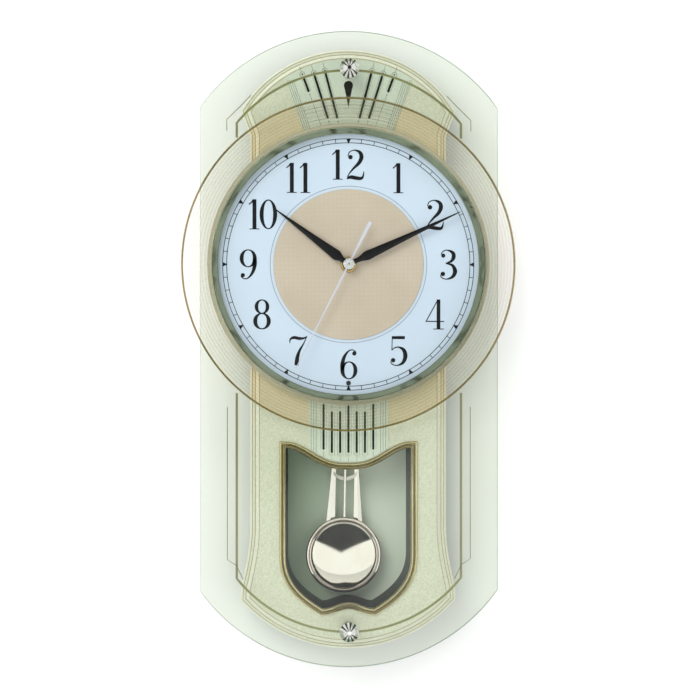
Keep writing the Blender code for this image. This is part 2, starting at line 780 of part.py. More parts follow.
def surround_path():
    """The window's edge without its waved top: down one side, round the bottom and up the other."""
    count = len(window_edge)
    start = next(i for i, (x, y) in enumerate(window_edge) if x > 0 and y >= WINDOW_TOP - 0.01)
    end = next(i for i, (x, y) in enumerate(window_edge) if x < 0 and y >= WINDOW_TOP - 0.01)
    return start, end, count


def surround_points(path, distance):
    start, end, count = path
    moved = offset(window_edge, distance)
    left_top = (moved[end][0], WINDOW_TOP)
    right_top = (moved[start][0], WINDOW_TOP)
    lower = [moved[i % count] for i in range(end + 1, count + start)]
    return [left_top] + lower + [right_top]


def rear_housing():
    edge = [(-3.0, 0), (0, 1.6), (0, HOUSING_FRONT)]
    rings = [[(x, y, z) for x, y in offset(case_edge, d - HOUSING_INSET)] for d, z in edge]
    housing = loft("rear_housing", rings, black_plastic)
    cavity = offset(case_edge, -HOUSING_INSET - CASE_WALL)
    boolean(housing, plate("housing_cavity", cavity, BACK_WALL, HOUSING_FRONT + SLACK, is_tool=True))
    screw_bosses(housing, BACK_WALL - 1, HOUSING_FRONT, "housing")
    low, high = -SLACK, BACK_WALL + SLACK
    for i, at in enumerate(SCREWS):
        sink = SCREW_HEAD + GAP
        bore = SCREW_RADIUS + GAP
        seat = BACK_WALL + 0.6
        stepped = [(0, low), (sink, low), (sink, seat), (bore, seat), (bore, HOUSING_FRONT + SLACK),
                   (0, HOUSING_FRONT + SLACK)]
        boolean(housing, turned(f"housing_bore_{i}", stepped, steps=12, at=at, is_tool=True))
    openings = {
        "hanger_opening": box_outline(*[h + GAP for h in HANGER_HALF], (0, HANGER_HEIGHT)),
        "door_opening": box_outline(*[h + GAP for h in DOOR_HALF], (0, BATTERY_HEIGHT)),
        "switch_opening": box_outline(SWITCH_TRAVEL / 2 + 3 + GAP, 3 + GAP, switch_centre()),
    }
    for name, outline in openings.items():
        boolean(housing, plate(name, outline, low, high, is_tool=True))
    for name, radius, at in (
        ("knob_opening", KNOB_RADIUS, set_centre()),
        ("volume_opening", VOLUME_RADIUS, volume_centre()),
    ):
        hole = disc(radius + 2 * GAP, low, high)
        boolean(housing, turned(name, hole, steps=32, at=at, is_tool=True))


def switch_centre():
    return (-16.0, BOARD_HEIGHT)


def volume_centre():
    return (16.0, BOARD_HEIGHT)


def case_screws():
    for i, at in enumerate(SCREWS):
        screw = [(0, 0.4), (SCREW_HEAD, 0.4), (SCREW_HEAD, BACK_WALL + 0.3),
                 (SCREW_RADIUS, BACK_WALL + 0.3), (SCREW_RADIUS, FACE_BACK - 3), (0, FACE_BACK - 2)]
        turned(f"case_screw_{i + 1}", screw, steel, steps=12, at=at)


def keyhole_hanger():
    outline = box_outline(*HANGER_HALF, (0, HANGER_HEIGHT))
    made = plate("keyhole_hanger", outline, 0.8, 2.2, steel)
    entry = (0, HANGER_HEIGHT - 4)
    boolean(made, turned("keyhole_head", disc(KEYHOLE_RADIUS, 0, 3), steps=20, at=entry, is_tool=True))
    neck = slot_outline(KEYHOLE_RADIUS - GAP, entry, (0, HANGER_HEIGHT + 6))
    boolean(made, plate("keyhole_neck", neck, 0, 3, is_tool=True))


# Quartz movement. Each wheel is a toothed plate, a pinion and an arbor joined into one.

FIFTH_TEETH, FIFTH_PINION, ROTOR_PINION = 36, 8, 6
SECOND_TEETH, SECOND_PINION = 40, 6
THIRD_TEETH, THIRD_PINION = 45, 6
CENTRE_TEETH = 48
CANNON_TEETH, MINUTE_TEETH, MINUTE_PINION, HOUR_TEETH = 8, 24, 8, 32

THIRD_MODULE = 2 * TRAIN_DISTANCE / (SECOND_PINION + THIRD_TEETH)
CENTRE_MODULE = 2 * TRAIN_DISTANCE / (THIRD_PINION + CENTRE_TEETH)
CANNON_MODULE = 2 * MOTION_DISTANCE / (CANNON_TEETH + MINUTE_TEETH)
HOUR_MODULE = 2 * MOTION_DISTANCE / (MINUTE_PINION + HOUR_TEETH)
FIFTH_DISTANCE = FIFTH_MODULE * (SECOND_TEETH + FIFTH_PINION) / 2
ROTOR_DISTANCE = FIFTH_MODULE * (FIFTH_TEETH + ROTOR_PINION) / 2
SET_DISTANCE = CANNON_MODULE * (MINUTE_TEETH + SET_TEETH) / 2
ARBOR = 0.5


def polar(centre, distance, bearing):
    return (centre[0] + distance * cos(bearing), centre[1] + distance * sin(bearing))


AXIS = (0.0, AXIS_HEIGHT)
THIRD_AT = polar(AXIS, TRAIN_DISTANCE, THIRD_BEARING)
FIFTH_AT = polar(AXIS, FIFTH_DISTANCE, FIFTH_BEARING)
ROTOR_AT = polar(FIFTH_AT, ROTOR_DISTANCE, ROTOR_BEARING)
MINUTE_AT = polar(AXIS, MOTION_DISTANCE, 0)


def set_centre():
    return polar(MINUTE_AT, SET_DISTANCE, 0)


def meshing_phase(teeth, phase, bearing, other_teeth):
    """Turn of a gear whose gap faces the tooth of the gear that drives it from the given bearing."""
    return bearing + pi - (pi - teeth * (bearing - phase)) / other_teeth


def gear_outline(teeth, module, phase):
    """Pointed teeth with straight flanks, thin enough to run with backlash."""
    pitch = 2 * pi / teeth
    radius = module * teeth / 2
    tip, root = radius + 0.75 * module, radius - 1.15 * module
    points = []
    for i in range(teeth):
        middle = phase + i * pitch
        for share, r in ((-0.26, root), (0, tip), (0.26, root)):
            points.append((r * cos(middle + share * pitch), r * sin(middle + share * pitch)))
    return points


def wheel(name, at, plates, arbor, material, bore=0.0):
    """plates is a list of (teeth, module, phase, low, high); arbor is (radius, low, high)."""
    first, *others = plates
    made = plate(name, gear_outline(*first[:3]), *first[3:], material, at=(*at, 0))
    for i, other in enumerate(others):
        extra = plate(f"{name}_pinion_{i}", gear_outline(*other[:3]), *other[3:], at=(*at, 0),
                      is_tool=True)
        boolean(made, extra, "UNION")
    if arbor:
        staff = turned(f"{name}_staff", disc(*arbor), steps=16, at=at, is_tool=True)
        boolean(made, staff, "UNION")
    if bore:
        hole = turned(f"{name}_bore", disc(bore, 10, 70), steps=16, at=at, is_tool=True)
        boolean(made, hole)
    return made


def gear_train():
    low, high = MOVEMENT_BACK + MOVEMENT_WALL + GAP, FACE_BACK - GAP - MOVEMENT_WALL - GAP
    second_low = low + 1.5
    wheel("second_wheel", AXIS,
          [(SECOND_TEETH, FIFTH_MODULE, 0, second_low, second_low + 1.2),
           (SECOND_PINION, THIRD_MODULE, 0, second_low + 0.6, second_low + 4.2)],
          (SECOND_ARBOR, low, hand_level(2) + 0.5), nylon)
    fifth_phase = meshing_phase(SECOND_TEETH, 0, FIFTH_BEARING, FIFTH_PINION)
    wheel("fifth_wheel", FIFTH_AT,
          [(FIFTH_TEETH, FIFTH_MODULE, 0, second_low + 2.0, second_low + 3.0),
           (FIFTH_PINION, FIFTH_MODULE, fifth_phase, second_low - 0.4, second_low + 2.5)],
          (ARBOR, low, second_low + 4.6), nylon)
    rotor_phase = meshing_phase(FIFTH_TEETH, 0, ROTOR_BEARING, ROTOR_PINION)
    rotor = wheel("stepper_rotor", ROTOR_AT,
                  [(ROTOR_PINION, FIFTH_MODULE, rotor_phase, second_low + 1.6, second_low + 3.4)],
                  (ARBOR, low, high), steel)
    magnet = disc(3.2, second_low + 6.8, second_low + 9.2)
    boolean(rotor, turned("rotor_magnet", magnet, steps=20, at=ROTOR_AT, is_tool=True), "UNION")
    third_phase = meshing_phase(SECOND_PINION, 0, THIRD_BEARING, THIRD_TEETH)
    third_low = second_low + 2.0
    wheel("third_wheel", THIRD_AT,
          [(THIRD_TEETH, THIRD_MODULE, third_phase, third_low, third_low + 1.0),
           (THIRD_PINION, CENTRE_MODULE, 0, third_low + 0.5, third_low + 4.6)],
          (ARBOR, low, high), nylon)
    centre_phase = meshing_phase(THIRD_PINION, 0, THIRD_BEARING + pi, CENTRE_TEETH)
    centre_low = third_low + 3.2
    wheel("centre_wheel", AXIS,
          [(CENTRE_TEETH, CENTRE_MODULE, centre_phase, centre_low, centre_low + 1.0)],
          None, nylon, bore=MINUTE_PIPE + GAP)
    cannon_low = centre_low + 1.9
    wheel("cannon_pinion", AXIS,
          [(CANNON_TEETH, CANNON_MODULE, 0, cannon_low, cannon_low + 2.2)],
          (MINUTE_PIPE, centre_low - 0.4, hand_level(1) + HAND_THICKNESS + 0.6), brass,
          bore=MINUTE_PIPE_BORE)
    minute_phase = meshing_phase(CANNON_TEETH, 0, 0, MINUTE_TEETH)
    wheel("minute_wheel", MINUTE_AT,
          [(MINUTE_TEETH, CANNON_MODULE, minute_phase, cannon_low + 0.4, cannon_low + 1.6),
           (MINUTE_PINION, HOUR_MODULE, 0, cannon_low + 1.0, cannon_low + 4.6)],
          None, nylon, bore=ARBOR + GAP)
    hour_phase = meshing_phase(MINUTE_PINION, 0, pi, HOUR_TEETH)
    hour_low = cannon_low + 3.0
    wheel("hour_wheel", AXIS,
          [(HOUR_TEETH, HOUR_MODULE, hour_phase, hour_low, hour_low + 1.2)],
          (HOUR_PIPE, hour_low, hand_level(0) + HAND_THICKNESS + 0.6), nylon,
          bore=HOUR_PIPE_BORE)
    set_phase = meshing_phase(MINUTE_TEETH, minute_phase, 0, SET_TEETH)
    knob = wheel("time_set_knob", set_centre(),
                 [(SET_TEETH, CANNON_MODULE, set_phase, cannon_low, cannon_low + 2.0)],
                 (1.3, 4, high), nylon)
    grip = disc(KNOB_RADIUS, KNOB_BACK, 9.0)
    grip = turned("knob_grip", grip, steps=24, at=set_centre(), is_tool=True)
    boolean(knob, grip, "UNION")
    motor(second_low + 7.2)


def motor(low):
    """Lavet motor: a laminated stator round the rotor and a long coil beside it."""
    stator = plate("motor_stator", box_outline(13.0, STATOR_HALF, ROTOR_AT), low, low + 1.4, steel)
    hole = disc(3.6, low - SLACK, low + 1.4 + SLACK)
    boolean(stator, turned("rotor_opening", hole, steps=24, at=ROTOR_AT, is_tool=True))
    wound = COIL_RADIUS - 0.5
    spool = [(0, -12), (COIL_RADIUS, -12), (COIL_RADIUS, -11), (wound, -11), (wound, 11),
             (COIL_RADIUS, 11), (COIL_RADIUS, 12), (0, 12)]
    coil = turned("motor_coil", spool, copper, steps=16)
    coil.location = (0, (ROTOR_AT[1] + STATOR_HALF + GAP + COIL_RADIUS) * MM, (low + 0.7) * MM)
    coil.rotation_euler = (0, pi / 2, 0)


def movement_housing():
    at = (0, AXIS_HEIGHT)
    back = MOVEMENT_BACK + MOVEMENT_WALL
    front = FACE_BACK - GAP
    outer = box_outline(MOVEMENT_HALF, MOVEMENT_HALF, at)
    made = plate("movement_case", outer, back + GAP, front, black_plastic)
    inner = box_outline(MOVEMENT_HALF - MOVEMENT_WALL, MOVEMENT_HALF - MOVEMENT_WALL, at)
    boolean(made, plate("movement_cavity", inner, back - SLACK, front - MOVEMENT_WALL, is_tool=True))
    bush = disc(BUSH_OUTER, front - 1, hand_level(0) - COLLAR_STEP - GAP)
    boolean(made, turned("threaded_bush", bush, steps=24, at=at, is_tool=True), "UNION")
    post = disc(ARBOR, front - 7.2, front - 0.5)
    boolean(made, turned("minute_post", post, steps=12, at=MINUTE_AT, is_tool=True), "UNION")
    bore = disc(BUSH_INNER, front - MOVEMENT_WALL - SLACK, 60)
    boolean(made, turned("bush_bore", bore, steps=24, at=at, is_tool=True))
    cover = plate("movement_cover", outer, MOVEMENT_BACK, back, ivory_plastic)
    stem = disc(1.3 + GAP, MOVEMENT_BACK - SLACK, back + SLACK)
    boolean(cover, turned("stem_opening", stem, steps=16, at=set_centre(), is_tool=True))


# Chime unit and batteries


def chime_unit():
    plate("melody_board", box_outline(*BOARD_HALF, (0, BOARD_HEIGHT)), BOARD_BACK,
          BOARD_BACK + BOARD_THICKNESS, board_green)
    x, y = switch_centre()
    slider = box_outline(3.0, 3.0, (x - SWITCH_TRAVEL / 2, y))
    plate("chime_switch", slider, 0.5, BOARD_BACK - GAP, ivory_plastic)
    grip = KNOB_BACK + 3.0
    stem = 2.0
    knob = [(0, KNOB_BACK), (VOLUME_RADIUS, KNOB_BACK), (VOLUME_RADIUS, grip), (stem, grip),
            (stem, BOARD_BACK - GAP), (0, BOARD_BACK - GAP)]
    volume = turned("volume_knob", knob, ivory_plastic, steps=24, at=volume_centre())
    notch = plate("volume_notch", box_outline(0.7, 3.5, volume_centre()), -1, 1.4, is_tool=True)
    boolean(volume, notch)

    at = (0, SPEAKER_HEIGHT)
    front = FACE_BACK - GAP
    floor = SPEAKER_CONE_LOW - 0.5
    basket = [
        (0, SPEAKER_BACK), (SPEAKER_MAGNET_RADIUS, SPEAKER_BACK), (SPEAKER_MAGNET_RADIUS, floor - 1.4),
        (SPEAKER_RADIUS - 4, front - 3), (SPEAKER_RADIUS, front - 2), (SPEAKER_RADIUS, front),
        (SPEAKER_RADIUS - 2, front), (SPEAKER_RADIUS - 5, front - 2), (10, floor), (0, floor),
    ]
    turned("speaker_body", basket, steel, steps=32, at=at)
    low = SPEAKER_CONE_LOW
    cone = [(0, low), (9.4, low), (SPEAKER_RADIUS - 5.6, front - 1.2), (SPEAKER_RADIUS - 6.4, front - 1.0),
            (8.6, low + 1.0), (0, low + 2.3)]
    turned("speaker_cone", cone, black_cloth, steps=32, at=at)


def battery_unit():
    at = (0, BATTERY_HEIGHT)
    half_x = CELL_LENGTH / 2 + 1.4
    half_y = 2 * CELL_RADIUS + 4.2
    low = BACK_WALL + GAP
    tray = plate("battery_box", box_outline(half_x + 1.5, half_y + 1.5, at), low, BATTERY_FLOOR + 1.5,
                 black_plastic)
    boolean(tray, plate("battery_bay", box_outline(half_x, half_y, at), low - SLACK, BATTERY_FLOOR,
                        is_tool=True))
    for name, side in (("lower_battery", -1), ("upper_battery", 1)):
        cell = [(0, -CELL_LENGTH / 2), (CELL_RADIUS, -CELL_LENGTH / 2), (CELL_RADIUS, CELL_LENGTH / 2 - 1.5),
                (2.7, CELL_LENGTH / 2 - 1.5), (2.7, CELL_LENGTH / 2), (0, CELL_LENGTH / 2)]
        made = turned(name, cell, cell_wrap, steps=20)
        made.location = (0, (BATTERY_HEIGHT + side * (CELL_RADIUS + 1)) * MM,
                         (BATTERY_FLOOR - CELL_RADIUS - GAP) * MM)
        made.rotation_euler = (0, side * pi / 2, 0)
    door = plate("battery_door", box_outline(*DOOR_HALF, at), GAP, GAP + DOOR_THICKNESS, black_plastic)
    pull = slot_outline(3.0, (-6, BATTERY_HEIGHT + DOOR_HALF[1] - 4), (6, BATTERY_HEIGHT + DOOR_HALF[1] - 4))
    boolean(door, plate("door_pull", pull, -SLACK, GAP + 0.9, is_tool=True))


# Pendulum and its drive


def pendulum_drive():
    front = FACE_BACK - GAP
    outline = box_outline(*DRIVE_HALF, (0, PIVOT + 14.0))
    made = plate("drive_case", outline, MOVEMENT_BACK, front, black_plastic)
    coil_at = (0, PIVOT - MAGNET_DROP)
    pocket = disc(DRIVE_COIL_RADIUS + GAP, MOVEMENT_BACK - SLACK, MOVEMENT_BACK + 8)
    boolean(made, turned("coil_pocket", pocket, steps=24, at=coil_at, is_tool=True))
    winding = disc(DRIVE_COIL_RADIUS, MOVEMENT_BACK + GAP, MOVEMENT_BACK + 7.5, 3.0)
    turned("drive_coil", winding, copper, steps=24, at=coil_at)
    head = PENDULUM_PLANE - 3.6
    pin = [(0, head), (3.0, head), (3.0, head + 1.2), (PIN_RADIUS, head + 1.2),
           (PIN_RADIUS, MOVEMENT_BACK - GAP), (0, MOVEMENT_BACK - GAP)]
    turned("pendulum_pin", pin, steel, steps=16, at=(0, PIVOT))


def blade_hull(name, side, parent):
    """A tapered blade with a ridge down its middle, as the hull of its two end sections."""
    top, low = BLADE_TOP - HANGER_DROP, BLADE_LOW - BOB_DROP
    mid = PENDULUM_PLANE
    points = []
    for y, inner, outer in ((top, BLADE_INNER, BLADE_INNER + 0.9), (low, BLADE_INNER, BLADE_OUTER)):
        ridge = (inner + outer) / 2
        points += [(side * inner, y, mid - 1), (side * outer, y, mid - 1), (side * inner, y, mid - 0.2),
                   (side * outer, y, mid - 0.2), (side * ridge, y, mid + 1.3)]
    mesh = bpy.data.meshes.new(name)
    work = bmesh.new()
    for point in points:
        work.verts.new([v * MM for v in point])
    bmesh.ops.convex_hull(work, input=work.verts)
    bmesh.ops.recalc_face_normals(work, faces=work.faces)
    work.to_mesh(mesh)
    work.free()
    return place(name, mesh, None, parent=parent, is_tool=True)


def crossbar_outline():
    """A shallow U between the blades."""
    reach, sag, thick = BLADE_INNER + 2.2, 5.0, 3.2
    radius = (reach**2 + sag**2) / (2 * sag)
    spread = asin(reach / radius)
    centre = (0, -CROSSBAR_DROP - sag + radius)
    outer = arc(centre, radius, -pi / 2 - spread, -pi / 2 + spread, 10)
    inner = arc((0, centre[1] + thick), radius, -pi / 2 + spread, -pi / 2 - spread, 10)
    return outer + inner


def pendulum():
    """Hangs from an empty on the pivot, which leans it as it stands at rest."""
    pivot = bpy.data.objects.new("pendulum_pivot", None)
    parts.objects.link(pivot)
    pivot.parent = frame
    pivot.location = (0, PIVOT * MM, 0)
    pivot.rotation_euler = (0, 0, -radians(PENDULUM_TILT))
    mid = PENDULUM_PLANE

    arm = plate("pendulum_hanger", box_outline(5.5, HANGER_DROP / 2 + 3, (0, 3 - HANGER_DROP / 2)),
                mid - 2.0, mid + 1.8, ivory_plastic, parent=pivot)
    eye = disc(PIN_RADIUS + GAP, mid - 4, mid + 4)
    boolean(arm, turned("hanger_eye", eye, steps=16, parent=pivot, is_tool=True))
    magnet = disc(4.5, mid + 1.8 + GAP, MOVEMENT_BACK - GAP)
    turned("drive_magnet", magnet, steel, steps=20, at=(0, -MAGNET_DROP), parent=pivot)

    rod = disc(ROD_RADIUS, 8 - BOB_DROP, -HANGER_DROP - GAP)
    made = turned("pendulum_frame", rod, gold, steps=16, parent=pivot)
    made.location = (0, 0, mid * MM)
    made.rotation_euler = (-pi / 2, 0, 0)
    for side, where in ((-1, "left"), (1, "right")):
        boolean(made, blade_hull(f"{where}_blade", side, pivot), "UNION")
    bar = plate("crossbar", crossbar_outline(), mid - 0.7, mid + 0.9, parent=pivot, is_tool=True)
    boolean(made, bar, "UNION")

    bob = (0, -BOB_DROP)
    back = disc(BOB_RADIUS - 2, mid - 5.5, mid - ROD_RADIUS - 0.35)
    turned("bob_back", back, brass, steps=40, at=bob, parent=pivot)
    low = mid + ROD_RADIUS + 0.35
    shell = [
        (0, low),
        (BOB_RADIUS, low),
        (BOB_RADIUS, low + 1.6),
        (BOB_RADIUS - 1.6, low + 2.2),
        (BOB_RADIUS - 3.4, low + 1.1),
    ]
    dome = BOB_RADIUS - BOB_RIM
    for i in range(5):
        t = i / 5 * pi / 2
        shell.append((dome * cos(t), low + 1.2 + BOB_CROWN * sin(t)))
    shell.append((0, low + 1.2 + BOB_CROWN))
    turned("bob_dome", shell, gold, steps=36, at=bob, parent=pivot)


glass_panel()
glass_fixings()
dial_unit()
hands()
case_front()
slot_panels()
window_pieces()
rear_housing()
case_screws()
keyhole_hanger()
gear_train()
movement_housing()
chime_unit()
battery_unit()
pendulum_drive()
pendulum()
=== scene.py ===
import json
from math import acos, asin, atan2, cos, degrees, hypot, pi, radians, sin, sqrt, tau

import bmesh
import bpy
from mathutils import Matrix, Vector


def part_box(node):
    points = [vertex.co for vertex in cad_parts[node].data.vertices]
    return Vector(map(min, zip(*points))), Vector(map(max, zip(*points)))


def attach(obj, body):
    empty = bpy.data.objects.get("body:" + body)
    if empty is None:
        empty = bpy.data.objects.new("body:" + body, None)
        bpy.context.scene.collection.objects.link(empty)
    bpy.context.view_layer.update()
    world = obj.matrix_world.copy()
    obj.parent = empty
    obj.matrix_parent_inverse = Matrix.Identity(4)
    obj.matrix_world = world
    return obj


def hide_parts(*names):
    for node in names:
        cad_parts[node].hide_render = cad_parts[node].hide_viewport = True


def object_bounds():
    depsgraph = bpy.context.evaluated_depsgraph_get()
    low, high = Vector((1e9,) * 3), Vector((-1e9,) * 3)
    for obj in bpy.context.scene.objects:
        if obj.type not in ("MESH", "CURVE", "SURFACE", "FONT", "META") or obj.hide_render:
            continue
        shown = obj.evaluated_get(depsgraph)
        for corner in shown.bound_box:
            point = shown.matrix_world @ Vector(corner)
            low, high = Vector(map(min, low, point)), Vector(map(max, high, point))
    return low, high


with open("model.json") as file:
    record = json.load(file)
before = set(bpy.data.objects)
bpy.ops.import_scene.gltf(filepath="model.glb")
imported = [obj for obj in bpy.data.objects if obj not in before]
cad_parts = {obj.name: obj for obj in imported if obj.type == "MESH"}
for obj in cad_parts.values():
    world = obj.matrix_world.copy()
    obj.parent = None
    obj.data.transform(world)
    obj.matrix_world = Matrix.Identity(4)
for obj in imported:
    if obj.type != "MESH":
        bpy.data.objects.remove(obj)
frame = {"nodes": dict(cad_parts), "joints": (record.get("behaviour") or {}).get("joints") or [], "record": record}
cadBounds = [list(corner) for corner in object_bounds()]
record = frame["record"]
joints = {joint["name"]: joint for joint in frame["joints"]}
print("frame loaded")


# Sizes below are in mm: x to the right, up the clock, and out of the wall


def board(x, up, out):
    return Vector((x, -out, up)) * 0.001


def span(node):
    low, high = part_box(node)
    return {
        "left": low.x * 1000, "right": high.x * 1000, "down": low.z * 1000, "up": high.z * 1000,
        "back": -high.y * 1000, "front": -low.y * 1000,
    }


def placed(x, up, clockwise=0.0):
    c, s = cos(radians(clockwise)), sin(radians(clockwise))
    return lambda px, py, out: board(x + px * c + py * s, up - px * s + py * c, out)


def arc(centre, radius, start, end, steps):
    return [
        (centre[0] + radius * cos(start + (end - start) * i / steps),
         centre[1] + radius * sin(start + (end - start) * i / steps))
        for i in range(steps + 1)
    ]


def curve(points, steps=6):
    made = []
    ends = [points[0]] + list(points) + [points[-1]]
    for a, b, c, d in zip(ends, ends[1:], ends[2:], ends[3:]):
        for i in range(steps):
            t = i / steps
            made.append(tuple(
                0.5 * (2 * q + (r - p) * t + (2 * p - 5 * q + 4 * r - s) * t**2 + (3 * q - p - 3 * r + s) * t**3)
                for p, q, r, s in zip(a, b, c, d)
            ))
    return made + [tuple(points[-1])]


def offset(outline, distance):
    moved = []
    count = len(outline)
    for i, (x, y) in enumerate(outline):
        before, after = outline[i - 1], outline[(i + 1) % count]
        sumX = sumY = 0.0
        for dx, dy in ((x - before[0], y - before[1]), (after[0] - x, after[1] - y)):
            sumX += dy / hypot(dx, dy)
            sumY -= dx / hypot(dx, dy)
        scale = 2 / max(sumX**2 + sumY**2, 1.0)
        moved.append((x + distance * sumX * scale, y + distance * sumY * scale))
    return moved


def mirrored(rightSide):
    return rightSide + [(-x, y) for x, y in reversed(rightSide) if x > 0.001]


def skin(work, rings, at=board, closed=False, capped=True):
    rows = [[work.verts.new(at(*point)) for point in ring] for ring in rings]
    pairs = list(zip(rows, rows[1:])) + ([(rows[-1], rows[0])] if closed else [])
    for low, high in pairs:
        for i in range(len(low)):
            j = (i + 1) % len(low)
            work.faces.new((low[i], low[j], high[j], high[i]))
    if capped and not closed:
        work.faces.new(rows[0])
        work.faces.new(rows[-1])


def prism(work, outline, low, high, at=board):
    skin(work, [[(x, y, z) for x, y in outline] for z in (low, high)], at)


def turned(work, profile, at, steps=180):
    skin(work, [
        [(r * cos(tau * i / steps), r * sin(tau * i / steps), z) for r, z in profile]
        for i in range(steps)
    ], at, closed=True)


def ribbon(work, line, low, high, at=board, closed=False):
    rings = []
    for i, (x, y, half) in enumerate(line):
        before = line[i - 1] if closed or i else line[0]
        after = line[(i + 1) % len(line)] if closed or i < len(line) - 1 else line[-1]
        dx, dy = after[0] - before[0], after[1] - before[1]
        size = hypot(dx, dy) or 1.0
        nx, ny = -dy / size * half, dx / size * half
        rings.append([(x + nx, y + ny, low), (x - nx, y - ny, low), (x - nx, y - ny, high), (x + nx, y + ny, high)])
    skin(work, rings, at, closed=closed)


def blade(work, stations, low, mid, high, at):  # stations are (along, centre, half width), ridged down the middle
    skin(work, [
        [(c - w, y, low), (c + w, y, low), (c + w, y, mid), (c, y, high), (c - w, y, mid)]
        for y, c, w in stations
    ], at)


def slotShape(width, low, high, steps=8):
    along = complex(high[0] - low[0], high[1] - low[1])
    along /= abs(along)
    points = []
    for (x, y), start in ((high, -pi / 2), (low, pi / 2)):
        for px, py in arc((0, 0), width / 2, start, start + pi, steps):
            spun = complex(px, py) * along
            points.append((x + spun.real, y + spun.imag))
    return points


def finishPiece(work, name, body, slot, replaces=(), sharp=30, cutters=(), finish=None):
    pieces = []
    for source in (work, *cutters):
        bmesh.ops.remove_doubles(source, verts=source.verts, dist=1e-7)
        bmesh.ops.recalc_face_normals(source, faces=source.faces)
        mesh = bpy.data.meshes.new(name)
        source.to_mesh(mesh)
        source.free()
        pieces.append(bpy.data.objects.new(name, mesh))
        bpy.context.scene.collection.objects.link(pieces[-1])
    made, *tools = pieces
    for tool in tools:
        cut = made.modifiers.new("cut", "BOOLEAN")
        cut.object = tool
        cut.solver = "EXACT"
    if tools:
        shaped = bpy.data.meshes.new_from_object(made.evaluated_get(bpy.context.evaluated_depsgraph_get()))
        made.modifiers.clear()
        made.data = shaped
    for tool in tools:
        bpy.data.objects.remove(tool)
    made.name = name
    made.data.shade_smooth()
    made.data.set_sharp_from_angle(angle=radians(sharp))
    made.data.materials.clear()
    made.data.materials.append(finish or materials[slot])
    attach(made, body)
    if replaces:
        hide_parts(*replaces)
    return made


# Materials


def hexColour(text):
    channels = [int(text[i : i + 2], 16) / 255 for i in (0, 2, 4)]
    return [c / 12.92 if c <= 0.04045 else ((c + 0.055) / 1.055) ** 2.4 for c in channels] + [1.0]


def addNode(tree, kind, values=None, links=None, **settings):
    node = tree.nodes.new(kind)
    for key, value in settings.items():
        setattr(node, key, value)
    for key, value in (values or {}).items():
        node.inputs[key].default_value = value
    for key, socket in (links or {}).items():
        tree.links.new(socket, node.inputs[key])
    return node


def newMaterial(name):
    made = bpy.data.materials.new(name)
    made.use_nodes = True
    tree = made.node_tree
    return made, tree, tree.nodes["Principled BSDF"], addNode(tree, "ShaderNodeTexCoord").outputs["Object"]


def beyond(tree, where, radius):  # 0 inside a circle round the dial's axis, 1 outside it
    dial = span("ribbed_ring")
    away = addNode(tree, "ShaderNodeVectorMath", {1: board(0, (dial["down"] + dial["up"]) / 2, 0)}, {0: where},
                   operation="SUBTRACT")
    flat = addNode(tree, "ShaderNodeVectorMath", {1: (1, 0, 1)}, {0: away.outputs[0]}, operation="MULTIPLY")
    reach = addNode(tree, "ShaderNodeVectorMath", links={0: flat.outputs[0]}, operation="LENGTH").outputs["Value"]
    return addNode(tree, "ShaderNodeMapRange", {
        "From Min": (radius - 0.3) / 1000, "From Max": (radius + 0.3) / 1000,
    }, {"Value": reach}).outputs["Result"]


